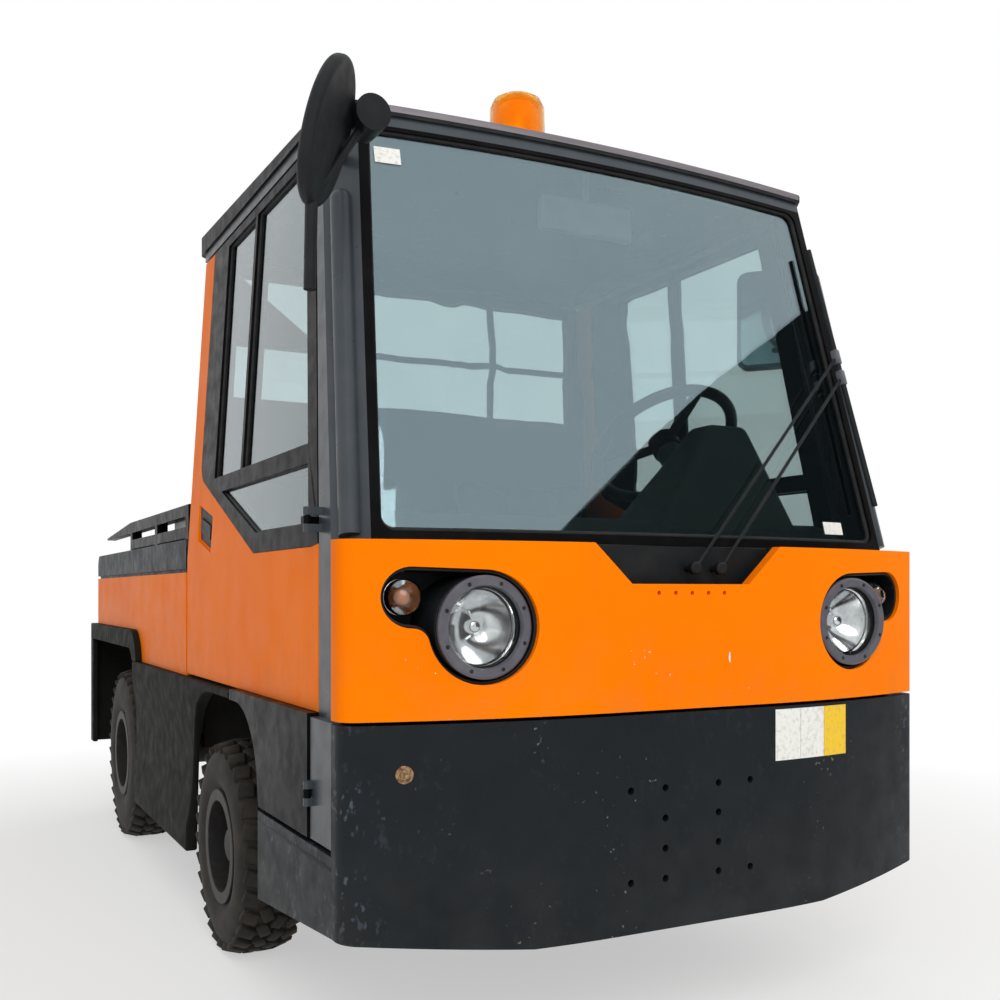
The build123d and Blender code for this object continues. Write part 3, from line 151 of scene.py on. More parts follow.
def orange_powder_coat():
    """Sprayed and baked orange: even colour, slight orange peel, faint dust, run marks and pale chips."""
    material, tree, shader, place = new_finish("orange_powder_coat")
    tone = patches(tree, place, 420, 0.35, 0.65)
    colour = over(tree, linear("#FF7D00"), linear("#FA7700"), tone)
    brush = times(tree, patches(tree, place, 26, 0.5, 0.8, stretch=(0.2, 0.1, 2.4)), 0.1)
    colour = over(tree, colour, linear("#E87A1E"), brush)
    runs = times(tree, patches(tree, place, 30, 0.6, 0.85, stretch=(1, 1, 0.08)), 0.22)
    colour = over(tree, colour, linear("#B8651A"), runs)
    dust = times(tree, near_ground(tree, place, 600, 800), patches(tree, place, 60, 0.4, 0.75))
    colour = over(tree, colour, linear("#A9753F"), times(tree, dust, 0.22))
    chip = times(tree, patches(tree, place, 9, 0.7, 0.73, detail=6), patches(tree, place, 150, 0.6, 0.66))
    colour = over(tree, colour, linear("#E9D9C4"), times(tree, chip, 0.8))
    tree.links.new(colour, shader.inputs["Base Color"])
    shader.inputs["Specular IOR Level"].default_value = 0.035
    tree.links.new(spread(tree, patches(tree, place, 90, 0.3, 0.7), 0.34, 0.46), shader.inputs["Roughness"])
    grain(tree, shader, place, 2.2, 0.04)
    return material


def anthracite_paint():
    """Thick brushed-on dark paint over plate steel: satin, scuffed and given a painted highlight along the
    outer corners, a little rust.
    """
    material, tree, shader, place = new_finish("anthracite_paint")
    tone = patches(tree, place, 300, 0.35, 0.65)
    colour = over(tree, linear("#12171B"), linear("#161B1F"), tone)
    # Pale blue-grey patches on the outer sides: scuffs, and also a painted highlight standing in for the
    # corners' vertical sheen
    split = add(tree, "ShaderNodeSeparateXYZ", {"Vector": place})
    out = add(tree, "ShaderNodeMath", {0: split.outputs["X"]}, operation="ABSOLUTE").outputs[0]
    reach = {"Value": out, "From Min": 0.57, "From Max": 0.63, "To Min": 0.06}
    corner = add(tree, "ShaderNodeMapRange", reach).outputs["Result"]
    scuff_and_highlight = times(tree, patches(tree, place, 11, 0.56, 0.64, stretch=(1, 1, 0.6), detail=6),
                  patches(tree, place, 90, 0.45, 0.6))
    colour = over(tree, colour, linear("#6E7888"), times(tree, times(tree, scuff_and_highlight, corner), 0.4))
    chip = times(tree, patches(tree, place, 12, 0.68, 0.71, detail=6), patches(tree, place, 180, 0.52, 0.6))
    colour = over(tree, colour, linear("#7C766C"), times(tree, chip, 0.7))
    dust = times(tree, near_ground(tree, place, 220, 470), patches(tree, place, 80, 0.35, 0.7))
    colour = over(tree, colour, linear("#4F4D49"), times(tree, dust, 0.14))
    tree.links.new(colour, shader.inputs["Base Color"])
    shader.inputs["Specular IOR Level"].default_value = 0.2
    tree.links.new(spread(tree, patches(tree, place, 50, 0.3, 0.7), 0.42, 0.6), shader.inputs["Roughness"])
    grain(tree, shader, place, 3, 0.08)
    return material


def skirt_plastic():
    """Moulded grey polypropylene: fine moulded grain, chalky with road dust lower down."""
    material, tree, shader, place = new_finish("skirt_plastic")
    tone = patches(tree, place, 240, 0.35, 0.65)
    colour = over(tree, linear("#1B1D1A"), linear("#1F211D"), tone)
    dust = times(tree, near_ground(tree, place, 170, 520), patches(tree, place, 110, 0.35, 0.7))
    colour = over(tree, colour, linear("#5A544A"), times(tree, dust, 0.12))
    tree.links.new(colour, shader.inputs["Base Color"])
    shader.inputs["Specular IOR Level"].default_value = 0.03
    tree.links.new(spread(tree, patches(tree, place, 40, 0.3, 0.7), 0.5, 0.68), shader.inputs["Roughness"])
    grain(tree, shader, place, 1.6, 0.1)
    return material


def gloss_black():
    """Sprayed black on roof and window frames, with a thin bloom of dust."""
    material, tree, shader, place = new_finish("gloss_black")
    dust = times(tree, patches(tree, place, 60, 0.45, 0.8), 0.2)
    colour = over(tree, linear("#0D0D0E"), linear("#2C2A27"), dust)
    tree.links.new(colour, shader.inputs["Base Color"])
    shader.inputs["Specular IOR Level"].default_value = 0.04
    tree.links.new(spread(tree, patches(tree, place, 35, 0.3, 0.7), 0.26, 0.42), shader.inputs["Roughness"])
    grain(tree, shader, place, 2.5, 0.03)
    return material


def pillar_paint():
    """Satin dark grey on the front pillars."""
    material, tree, shader, place = new_finish("pillar_paint")
    dust = times(tree, patches(tree, place, 70, 0.4, 0.75), 0.25)
    colour = over(tree, linear("#3B4146"), linear("#565B60"), dust)
    tree.links.new(colour, shader.inputs["Base Color"])
    shader.inputs["Specular IOR Level"].default_value = 0.3
    tree.links.new(spread(tree, patches(tree, place, 45, 0.3, 0.7), 0.26, 0.4), shader.inputs["Roughness"])
    grain(tree, shader, place, 2.5, 0.04)
    return material


def chassis_paint():
    """Black under-body paint under caked dust."""
    material, tree, shader, place = new_finish("chassis_paint")
    dust = times(tree, patches(tree, place, 90, 0.35, 0.7), 0.45)
    colour = over(tree, linear("#171717"), linear("#4A433B"), dust)
    tree.links.new(colour, shader.inputs["Base Color"])
    shader.inputs["Roughness"].default_value = 0.72
    grain(tree, shader, place, 4, 0.3)
    return material


def cast_iron():
    """Sand-cast iron of the axles: rough and rusty brown."""
    material, tree, shader, place = new_finish("cast_iron")
    rust = patches(tree, place, 40, 0.4, 0.7)
    colour = over(tree, linear("#2C2B2A"), linear("#5B402C"), times(tree, rust, 0.6))
    tree.links.new(colour, shader.inputs["Base Color"])
    shader.inputs["Metallic"].default_value = 0.35
    shader.inputs["Roughness"].default_value = 0.66
    grain(tree, shader, place, 3, 0.3)
    return material


def cab_plastic(name="cab_plastic", colour="#15181A"):
    """Grained ABS: black on the cowl and lamp pods, dark grey on the dash."""
    material, tree, shader, place = new_finish(name)
    dust = times(tree, patches(tree, place, 50, 0.45, 0.75), 0.12)
    colour = over(tree, linear(colour), linear("#44423E"), dust)
    tree.links.new(colour, shader.inputs["Base Color"])
    shader.inputs["Specular IOR Level"].default_value = 0.25
    tree.links.new(spread(tree, patches(tree, place, 30, 0.3, 0.7), 0.42, 0.6), shader.inputs["Roughness"])
    grain(tree, shader, place, 1.4, 0.12)
    return material


def tinted_glass(name, index, tint):
    """Blue-green laminated glass with a faint haze of dust; the index sets how much sky it mirrors."""
    material, tree, shader, place = new_finish(name)
    haze = patches(tree, place, 260, 0.3, 0.75)
    tree.links.new(over(tree, linear("#C9DADB"), linear("#BFD1D4"), haze), shader.inputs["Base Color"])
    shader.inputs["Roughness"].default_value = 0.01
    shader.inputs["IOR"].default_value = index
    shader.inputs["Specular Tint"].default_value = linear(tint)
    shader.inputs["Transmission Weight"].default_value = 1
    return material


def lens_glass():
    """Clear pressed glass of the lamps, its faint fluting only a ripple."""
    material, tree, shader, place = new_finish("lens_glass")
    shader.inputs["Base Color"].default_value = linear("#F4F6F6")
    shader.inputs["Roughness"].default_value = 0.02
    shader.inputs["IOR"].default_value = 1.45
    shader.inputs["Transmission Weight"].default_value = 1
    grain(tree, shader, place, 30, 0.3)
    return material


def coloured_lens(name, colour, deep, clear, glow=None):
    """Moulded acrylic: clear is the share of light let through, glow the colour of a painted glow standing in
    for light caught inside.
    """
    material, tree, shader, place = new_finish(name)
    tone = patches(tree, place, 40, 0.3, 0.7)
    tree.links.new(over(tree, linear(colour), linear(deep), tone), shader.inputs["Base Color"])
    shader.inputs["Roughness"].default_value = 0.1
    shader.inputs["Specular Tint"].default_value = linear(colour)
    shader.inputs["IOR"].default_value = 1.49
    shader.inputs["Transmission Weight"].default_value = clear
    if glow:
        shader.inputs["Emission Color"].default_value = linear(glow)
        shader.inputs["Emission Strength"].default_value = 0.35
    return material


def reflector():
    """Vacuum-metallised bowl behind the lamp glass."""
    material, tree, shader, place = new_finish("reflector")
    tone = patches(tree, place, 25, 0.3, 0.7)
    tree.links.new(over(tree, linear("#E9EBEC"), linear("#CDD0D2"), tone), shader.inputs["Base Color"])
    shader.inputs["Metallic"].default_value = 1
    shader.inputs["Roughness"].default_value = 0.12
    return material


def tyre_rubber():
    """Natural rubber compound: dull black, brown with dried mud on the tread and in the hollows."""
    material, tree, shader, place = new_finish("tyre_rubber")
    mud = patches(tree, place, 55, 0.38, 0.68, detail=8)
    colour = over(tree, linear("#161412"), linear("#40372E"), times(tree, mud, 0.5))
    tree.links.new(colour, shader.inputs["Base Color"])
    shader.inputs["Roughness"].default_value = 0.85
    grain(tree, shader, place, 3, 0.4)
    return material


def rim_paint():
    """Dark wheel paint, dusty and rust-stained."""
    material, tree, shader, place = new_finish("rim_paint")
    rust = patches(tree, place, 30, 0.45, 0.7)
    colour = over(tree, linear("#171616"), linear("#3A3029"), times(tree, rust, 0.5))
    tree.links.new(colour, shader.inputs["Base Color"])
    shader.inputs["Roughness"].default_value = 0.6
    grain(tree, shader, place, 3, 0.2)
    return material


def bare_steel():
    """Worn forged steel of the coupling."""
    material, tree, shader, place = new_finish("bare_steel")
    rust = patches(tree, place, 22, 0.45, 0.7)
    colour = over(tree, linear("#6A6663"), linear("#58402E"), times(tree, rust, 0.7))
    tree.links.new(colour, shader.inputs["Base Color"])
    shader.inputs["Metallic"].default_value = 0.8
    tree.links.new(spread(tree, rust, 0.35, 0.7), shader.inputs["Roughness"])
    return material


def seat_vinyl():
    """Embossed black seat vinyl."""
    material, tree, shader, place = new_finish("seat_vinyl")
    wear = patches(tree, place, 120, 0.4, 0.7)
    tree.links.new(over(tree, linear("#1A1A1B"), linear("#2C2B2A"), wear), shader.inputs["Base Color"])
    shader.inputs["Roughness"].default_value = 0.5
    grain(tree, shader, place, 2, 0.2)
    return material


FINISH = {
    "orange_paint": orange_powder_coat(),
    "anthracite_paint": anthracite_paint(),
    "grey_plastic": skirt_plastic(),
    "black_paint": gloss_black(),
    "pillar_paint": pillar_paint(),
    "chassis_steel": chassis_paint(),
    "tinted_glass": tinted_glass("tinted_glass", 1.7, "#BFDDEA"),
    "lens_glass": lens_glass(),
    "amber_lens": coloured_lens("amber_acrylic", "#FFBA20", "#FAA408", 0.85),
    "red_lens": coloured_lens("red_acrylic", "#C01818", "#8C0E0E", 0.5),
    "reflector": reflector(),
    "tyre_rubber": tyre_rubber(),
    "rim_paint": rim_paint(),
    "axle_iron": cast_iron(),
    "black_plastic": cab_plastic(),
    "seat_cover": seat_vinyl(),
    "battery_case": cab_plastic(),
    "coupling_steel": bare_steel(),
}


# Edges of the carried-over solids


def smooth_group():
    """Geometry node group that shades every face smooth."""
    group = bpy.data.node_groups.new("smooth_faces", "GeometryNodeTree")
    group.interface.new_socket("Geometry", in_out="INPUT", socket_type="NodeSocketGeometry")
    group.interface.new_socket("Geometry", in_out="OUTPUT", socket_type="NodeSocketGeometry")
    start = add(group, "NodeGroupInput")
    shade = add(group, "GeometryNodeSetShadeSmooth", {"Geometry": start.outputs[0]})
    add(group, "NodeGroupOutput", {0: shade.outputs[0]})
    return group


SMOOTH = smooth_group()
GLASS_SLOTS = ("tinted_glass", "lens_glass", "amber_lens", "red_lens")


def weld_smooth(obj):
    """Joins the loose triangles of a solid and shades them smooth."""
    weld = obj.modifiers.new("weld", "WELD")
    weld.merge_threshold = 0.02 * MM
    obj.modifiers.new("smooth", "NODES").node_group = SMOOTH


def soften(obj, width_mm):
    """Rounds the hard edges of a solid and shades the rest smooth."""
    weld_smooth(obj)
    flat = obj.modifiers.new("flat", "DECIMATE")
    flat.decimate_type = "DISSOLVE"
    flat.angle_limit = math.radians(0.6)
    bevel = obj.modifiers.new("edge", "BEVEL")
    bevel.width = width_mm * MM
    bevel.segments = 2
    bevel.limit_method = "ANGLE"
    bevel.angle_limit = math.radians(32)
    normal = obj.modifiers.new("normal", "WEIGHTED_NORMAL")
    normal.keep_sharp = False


def keep_edges(obj):
    """Smooth faces with crisp edges, for glass."""
    weld_smooth(obj)
    split = obj.modifiers.new("split", "EDGE_SPLIT")
    split.split_angle = math.radians(30)


SLOT_OF = {row["node"]: row["material_slot"] for row in frame["record"]["subparts"]}
EDGE_MM = {"front_panel": 5, "front_bumper": 6, "deck_lid": 8, "side_skirts": 5, "rear_mudguards": 4,
           "roof": 3}

for name, obj in NODES.items():
    obj.data.materials.clear()
    obj.data.materials.append(FINISH[SLOT_OF[name]])
    if SLOT_OF[name] in GLASS_SLOTS:
        keep_edges(obj)
    else:
        soften(obj, EDGE_MM.get(name, 2))

# Nodes whose finish differs from the rest of their slot
DASH_PLASTIC = cab_plastic("dash_plastic", "#566260")
for name in ("dashboard", "steering_column"):
    NODES[name].data.materials[0] = DASH_PLASTIC
NODES["cab_mirror"].data.materials[0] = coloured_lens("mirror_cover", "#B4BCBE", "#A6AEB0", 0)
NODES["windscreen"].data.materials[0] = tinted_glass("screen_glass", 2.8, "#C6DEE8")


# Added pieces


def meshed(name, shape):
    """Mesh taken from a bmesh, which is freed."""
    mesh = bpy.data.meshes.new(name)
    shape.to_mesh(mesh)
    shape.free()
    return mesh


def linked(name, data):
    """Object with this data, put into the scene."""
    obj = bpy.data.objects.new(name, data)
    bpy.context.scene.collection.objects.link(obj)
    return obj


def finished(name, shape, finish, body, sharp=40):
    """Piece from a bmesh: doubles merged, faces outward, smooth with hard edges kept, riding on a body."""
    bmesh.ops.remove_doubles(shape, verts=shape.verts, dist=0.01 * MM)
    bmesh.ops.recalc_face_normals(shape, faces=shape.faces)
    for face in shape.faces:
        face.smooth = True
    for edge in shape.edges:
        edge.smooth = edge.calc_face_angle(0) < math.radians(sharp)
    mesh = meshed(name, shape)
    mesh.materials.append(finish)
    piece = linked(name, mesh)
    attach(piece, body)
    return piece


def turned(shape, profile, centre, axis, steps=48, side=None):
    """Spins a profile of (along the axis, radius) pairs in millimetres about an axis through centre."""
    axis = Vector(axis).normalized()
    side = Vector(side) if side else axis.orthogonal().normalized()
    verts = [shape.verts.new(Vector(centre) + axis * a * MM + side * r * MM) for a, r in profile]
    edges = [shape.edges.new(pair) for pair in zip(verts, verts[1:])]
    bmesh.ops.spin(shape, geom=verts + edges, cent=centre, axis=axis, angle=2 * math.pi, steps=steps,
                   use_merge=True)


def rounded(shape, edges, width_mm, segments=2):
    """Rounds the given edges."""
    bmesh.ops.bevel(shape, geom=edges, offset=width_mm * MM, offset_type="OFFSET", affect="EDGES",
                    segments=segments, profile=0.5, material=-1, clamp_overlap=True)


def cube(shape, place, round_mm, segments=2):
    """Unit cube set by a matrix, its edges rounded."""
    made = bmesh.ops.create_cube(shape, size=1, matrix=place)
    edges = list({edge for vert in made["verts"] for edge in vert.link_edges})
    rounded(shape, edges, round_mm, segments)


def block(shape, low, high, round_mm):
    """Box between two corners in metres, its edges rounded."""
    low = Vector(low)
    high = Vector(high)
    cube(shape, Matrix.LocRotScale((low + high) / 2, None, high - low), round_mm)


def rod(shape, start, end, radius_mm, steps=20):
    """Round rod with chamfered ends."""
    start = Vector(start)
    run = Vector(end) - start
    length = run.length / MM
    edge = min(radius_mm * 0.3, length * 0.2)
    profile = [(0, 0), (0, radius_mm - edge), (edge, radius_mm), (length - edge, radius_mm),
               (length, radius_mm - edge), (length, 0)]
    turned(shape, profile, start, run, steps)


def dome(depth, radius, rim, count=9):
    """Profile of a shallow dome: depth ahead of its rim plane at the middle."""
    shares = [k / (count - 1) for k in range(count)]
    return [(rim - depth * (1 - share ** 2), radius * share) for share in shares]


def grey_bezel():
    """Moulded grey nylon of the lamp rings, a little glossy."""
    material, tree, shader, place = new_finish("grey_bezel_nylon")
    tone = patches(tree, place, 30, 0.3, 0.7)
    tree.links.new(over(tree, linear("#4E4D55"), linear("#5C5B63"), tone), shader.inputs["Base Color"])
    shader.inputs["Roughness"].default_value = 0.42
    grain(tree, shader, place, 1.2, 0.05)
    return material


def dark_rubber(name, colour):
    """Extruded weather strip: dull, a little grey where it is dusty."""
    material, tree, shader, place = new_finish(name)
    dust = times(tree, patches(tree, place, 30, 0.4, 0.75), 0.3)
    tree.links.new(over(tree, linear(colour), linear("#3C3B38"), dust), shader.inputs["Base Color"])
    shader.inputs["Roughness"].default_value = 0.7
    grain(tree, shader, place, 2, 0.08)
    return material


def mirror_silver():
    """Silvered mirror glass."""
    material, tree, shader, place = new_finish("mirror_silver")
    tone = patches(tree, place, 60, 0.3, 0.7)
    tree.links.new(over(tree, linear("#DDE3E4"), linear("#CBD3D5"), tone), shader.inputs["Base Color"])
    shader.inputs["Metallic"].default_value = 1
    shader.inputs["Roughness"].default_value = 0.03
    return material


def roof_reflection_paint():
    """Pale lilac-grey strip streaked along its length: a painted reflection of the sky on the roof's glossy
    front lip.
    """
    material, tree, shader, place = new_finish("anodised_trim")
    tone = patches(tree, place, 12, 0.3, 0.7, stretch=(0.05, 1, 1))
    tree.links.new(over(tree, linear("#8F898E"), linear("#7A757A"), tone), shader.inputs["Base Color"])
    shader.inputs["Metallic"].default_value = 0.3
    shader.inputs["Roughness"].default_value = 0.4
    return material


def vinyl_label(name, colour):
    """Blank vinyl, slightly faded and scratched."""
    material, tree, shader, place = new_finish(name)
    worn = times(tree, patches(tree, place, 8, 0.5, 0.7, detail=6), 0.35)
    tree.links.new(over(tree, linear(colour), linear("#8E8B84"), worn), shader.inputs["Base Color"])
    shader.inputs["Roughness"].default_value = 0.45
    return material


def rusty_steel():
    """Bolt steel gone to flaky rust."""
    material, tree, shader, place = new_finish("rusty_bolt_steel")
    rust = patches(tree, place, 6, 0.35, 0.65, detail=6)
    tree.links.new(over(tree, linear("#A78A66"), linear("#5A3A22"), rust), shader.inputs["Base Color"])
    shader.inputs["Roughness"].default_value = 0.75
    grain(tree, shader, place, 2, 0.4)
    return material


BEZEL = grey_bezel()
RUBBER = dark_rubber("weather_strip_rubber", "#101112")
SILVER = mirror_silver()
# Pale strip colour painted as the sky's reflection on the roof lip
ROOF_REFLECTION = roof_reflection_paint()
WHITE_VINYL = vinyl_label("white_vinyl", "#E8E8E2")
YELLOW_VINYL = vinyl_label("yellow_vinyl", "#F0C419")
RUST = rusty_steel()
AMBER_BULB = coloured_lens("amber_bulb", "#F2A878", "#E08A50", 0.3)
# The drum's emission is a painted glow standing in for light caught in the dome
BEACON_DRUM_GLOW = coloured_lens("amber_drum_painted_glow", "#FFC800", "#FFBA00", 0, "#FFC400")
PLASTIC = FINISH["black_plastic"]
CHASSIS = "chassis"

# Lamps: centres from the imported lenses
LENS_LOW, LENS_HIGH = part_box("headlamp_lenses")
LENS_R = (LENS_HIGH.z - LENS_LOW.z) / 2 / MM
LAMP_Z = (LENS_LOW.z + LENS_HIGH.z) / 2
LAMP_X = LENS_HIGH.x - LENS_R * MM
LENS_Y = (LENS_LOW.y + LENS_HIGH.y) / 2
TURN_LOW, TURN_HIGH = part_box("turn_lamps")
TURN_R = (TURN_HIGH.z - TURN_LOW.z) / 2 / MM
TURN_Z = (TURN_LOW.z + TURN_HIGH.z) / 2
TURN_X = TURN_HIGH.x - TURN_R * MM
TURN_Y = TURN_LOW.y
INTO_LAMP = (0, 1, 0)
RING_HOLES = 8
HOLE_CIRCLE_R = 78


def headlamps():
    """Glass dome, parabolic bowl with a bulb shield, grey ring with eight dark discs of painted shade for its
    screw holes.
    """
    glass = bmesh.new()
    bowl = bmesh.new()
    ring = bmesh.new()
    holes = bmesh.new()
    for side in (1, -1):
        centre = Vector((side * LAMP_X, LENS_Y, LAMP_Z))
        outer = dome(16, LENS_R, 4)
        inner = [(a + 3, r) for a, r in reversed(dome(15, LENS_R - 2, 4))]
        turned(glass, outer + [(12, LENS_R), (12, LENS_R - 4)] + inner, centre, INTO_LAMP)
        front = [(58 - 44 * (r / 62) ** 2, r) for r in (9, 14, 20, 28, 36, 44, 52, 58, 62)]
        behind = [(a + 2, r) for a, r in reversed(front)]
        rim = [(14, LENS_R - 3), (17, LENS_R - 3)]
        turned(bowl, front + rim + behind + front[:1], centre, INTO_LAMP)
        shield = [(22, 0), (22.5, 7), (25, 11), (29, 12.5), (44, 12.5), (44, 11), (30, 11), (26, 9), (24, 0)]
        turned(bowl, shield, centre, INTO_LAMP, 32)
        rod(bowl, centre + Vector((0, 0.036, 0.010)), centre + Vector((0, 0.052, 0.030)), 2.2)
        lip = [(-15, 69), (-18, 71), (-18, 84), (-15, 87.5), (-8, 87.5), (-8, 69), (-15, 69)]
        turned(ring, lip, centre, INTO_LAMP)
        for k in range(RING_HOLES):
            angle = math.radians(360 / RING_HOLES * k + 24)
            offset = Vector((math.cos(angle), 0, math.sin(angle))) * HOLE_CIRCLE_R * MM
            # Dark disc just proud of the ring's face: painted shade standing in for a screw hole
            turned(holes, [(-18.4, 0), (-18.4, 3.6), (-16, 4), (-16, 0)], centre + offset, INTO_LAMP, 16)
    lens = finished("headlamp_glass", glass, FINISH["lens_glass"], CHASSIS)
    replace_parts(lens, "headlamp_lenses")
    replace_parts(finished("headlamp_bowls", bowl, FINISH["reflector"], CHASSIS), "headlamps")
    finished("headlamp_rings", ring, BEZEL, CHASSIS)
    finished("headlamp_hole_shade", holes, RUBBER, CHASSIS)


def turn_lamps():
    """Clear round dome over a bright cup and an amber bulb."""
    glass = bmesh.new()
    cup = bmesh.new()
    bulb = bmesh.new()
    for side in (1, -1):
        centre = Vector((side * TURN_X, TURN_Y, TURN_Z))
        outer = dome(20, TURN_R, 20)
        inner = [(a + 2.5, r) for a, r in reversed(dome(19, TURN_R - 2, 20))]
        turned(glass, outer + [(42, TURN_R), (42, TURN_R - 2)] + inner, centre, INTO_LAMP)
        bowl = [(64 - 40 * (r / 28) ** 1.5, r) for r in (4, 10, 16, 22, 28)]
        turned(cup, bowl + [(a + 1.5, r) for a, r in reversed(bowl)] + bowl[:1], centre, INTO_LAMP)
        ball = [(22, 0), (22.8, 6), (26, 11), (31, 13), (40, 12), (52, 7), (58, 7), (58, 0)]
        turned(bulb, ball, centre, INTO_LAMP, 32)
    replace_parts(finished("turn_lamp_glass", glass, FINISH["lens_glass"], CHASSIS), "turn_lamps")
    finished("turn_lamp_cups", cup, FINISH["reflector"], CHASSIS)
    finished("turn_lamp_bulbs", bulb, AMBER_BULB, CHASSIS)


def beacon():
    """Amber cap over a bright amber drum with a painted glow."""
    low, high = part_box("beacon_dome")
    centre = Vector((0, (low.y + high.y) / 2, low.z))
    radius = (high.x - low.x) / 2 / MM
    height = (high.z - low.z) / MM
    shoulder = radius * 0.42
    outer = [(0, radius), (height - shoulder, radius * 0.94), (height - shoulder * 0.4, radius * 0.83),
             (height - shoulder * 0.1, radius * 0.62), (height, radius * 0.4), (height, 0)]
    wall = 4
    inner = [(a - wall, max(r - wall, 0)) for a, r in reversed(outer[1:])] + [(0, radius - wall), (0, radius)]
    cap = bmesh.new()
    turned(cap, outer + inner, centre, (0, 0, 1), 64)
    piece = finished("beacon_cap", cap, FINISH["amber_lens"], CHASSIS)
    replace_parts(piece, "beacon_dome")
    drum = bmesh.new()
    turned(drum, [(0, 0), (0, 50), (height * 0.78, 50), (height * 0.88, 36), (height * 0.88, 0)], centre,
           (0, 0, 1), 40)
    finished("beacon_drum", drum, BEACON_DRUM_GLOW, CHASSIS)


def border_rings(shape):
    """Closed rings of points along the border edges of a sheet."""
    left = {edge.index: edge for edge in shape.edges if edge.is_boundary}
    rings = []
    while left:
        edge = left.pop(min(left))
        start, vert = edge.verts
        ring = [start.co.copy()]
        while vert != start:
            ring.append(vert.co.copy())
            edge = next(e for e in vert.link_edges if e.index in left)
            del left[edge.index]
            vert = edge.other_vert(vert)
        rings.append(ring)
    return rings


def pane_strip(node, body, toward, radius_mm, name):
    """Rubber bead round the outer face of each pane, along its own border."""
    shape = bmesh.new()
    shape.from_mesh(NODES[node].data)
    bmesh.ops.remove_doubles(shape, verts=shape.verts, dist=0.02 * MM)
    toward = Vector(toward)
    away = [face for face in shape.faces if face.normal.dot(toward) < 0.6]
    bmesh.ops.delete(shape, geom=away, context="FACES")
    shape.edges.index_update()
    curve = bpy.data.curves.new(name, "CURVE")
    curve.dimensions = "3D"
    curve.bevel_depth = radius_mm * MM
    curve.bevel_resolution = 3
    for ring in border_rings(shape):
        spline = curve.splines.new("POLY")
        spline.points.add(len(ring) - 1)
        spline.use_cyclic_u = True
        for point, co in zip(spline.points, ring):
            point.co = co.to_4d()
    shape.free()
    line = bpy.data.objects.new(name + "_line", curve)
    strip = bmesh.new()
    strip.from_mesh(bpy.data.meshes.new_from_object(line))
    bpy.data.objects.remove(line)
    finished(name, strip, RUBBER, body, 60)


TREAD_DEEP = 11
LARGE_TYRE_R = 260
BLOCKS_LARGE = 34
BLOCKS_SMALL = 30
# Place across and width as shares of the half width, share of the pitch, slant and droop in degrees
TREAD_ROWS = ((0.2, 0.34, 0.74, 24, 0), (0.66, 0.5, 0.62, -14, 17))


def tyre(node, body):
    """Rounded carcass with four rows of blocks, the outer ones carried over the shoulder."""
    low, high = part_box(node)
    centre = (low + high) / 2
    radius = (high.z - low.z) / 2 / MM
    half = (high.x - low.x) / 2 / MM
    rim_low, rim_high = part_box(node.replace("tyre", "rim"))
    rim_r = (rim_high.z - rim_low.z) / 2 / MM
    deep = TREAD_DEEP
    crown = radius - deep
    wall = [(half - 14, rim_r - 10), (half - 12, rim_r + 4), (half - 3, rim_r + 22), (half - 0.5, rim_r + 40),
            (half - 2, (rim_r + crown) / 2 + 14), (half - 9, crown - 18), (half - 22, crown - 5),
            (half * 0.4, crown)]
    profile = wall + [(-a, r) for a, r in reversed(wall)] + wall[:1]
    shape = bmesh.new()
    turned(shape, profile, centre, (1, 0, 0), 72, (0, 0, -1))
    count = BLOCKS_LARGE if radius > LARGE_TYRE_R else BLOCKS_SMALL
    pitch = 2 * math.pi * radius / count
    for across, width, share, slant, droop in TREAD_ROWS:
        for side in (1, -1):
            for k in range(count):
                turn = 2 * math.pi * (k + 0.25 * side + 0.4 * across) / count
                size = Vector((half * width, pitch * share, deep * 1.9)) * MM
                middle = Vector((side * half * across, 0, -(radius - deep * 0.95 - droop * 0.32))) * MM
                # One middle block stands straight down on the ground
                if k == 0 and side == 1 and droop == 0:
                    turn = 0
                lean = Matrix.Rotation(math.radians(side * -droop), 4, "Y")
                twist = Matrix.Rotation(math.radians(side * slant), 4, "Z")
                place = Matrix.Translation(centre) @ Matrix.Rotation(turn, 4, "X") @ Matrix.Translation(middle)
                place = place @ lean @ twist @ Matrix.Diagonal(size.to_4d())
                cube(shape, place, 2.2, 1)
    piece = finished("tread_" + node[5:], shape, FINISH["tyre_rubber"], body, 50)
    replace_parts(piece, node)


WHEEL_NUTS = 6
NUT_CIRCLE_R = 88


def wheel_hub(node, body, side):
    """Six wheel nuts on washers round a pressed hub cap."""
    low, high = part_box(node)
    centre = (low + high) / 2
    out = Vector((side, 0, 0))
    shape = bmesh.new()
    cap = [(34, 54), (37, 52), (38, 40), (46, 36), (50, 26), (51, 0), (34, 0)]
    turned(shape, cap, centre, out, 40)
    for k in range(WHEEL_NUTS):
        angle = math.radians(360 / WHEEL_NUTS * k)
        spot = centre + Vector((0, math.cos(angle), math.sin(angle))) * NUT_CIRCLE_R * MM - out * 4 * MM
        turned(shape, [(0, 0), (0, 15), (3, 15), (3, 0)], spot, out, 20)
        turned(shape, [(3, 0), (3, 12), (15, 12), (17, 9), (17, 6), (24, 6), (25, 4), (25, 0)], spot, out, 6)
    finished("hub_" + node[4:], shape, FINISH["rim_paint"], body, 30)


headlamps()
turn_lamps()
beacon()
pane_strip("windscreen", CHASSIS, (0, -1, 0.2), 6, "screen_strip")
pane_strip("rear_window", CHASSIS, (0, 1, 0), 6, "rear_window_strip")
for label, side in SIDES:
    pane_strip("door_glass_" + label, "door_" + label, (side, 0, 0.1), 4.5, "door_strip_" + label)
    for axle in ("front", "rear"):
        tyre(f"tyre_{axle}_{label}", f"wheel_{axle}_{label}")
        wheel_hub(f"rim_{axle}_{label}", f"wheel_{axle}_{label}", side)


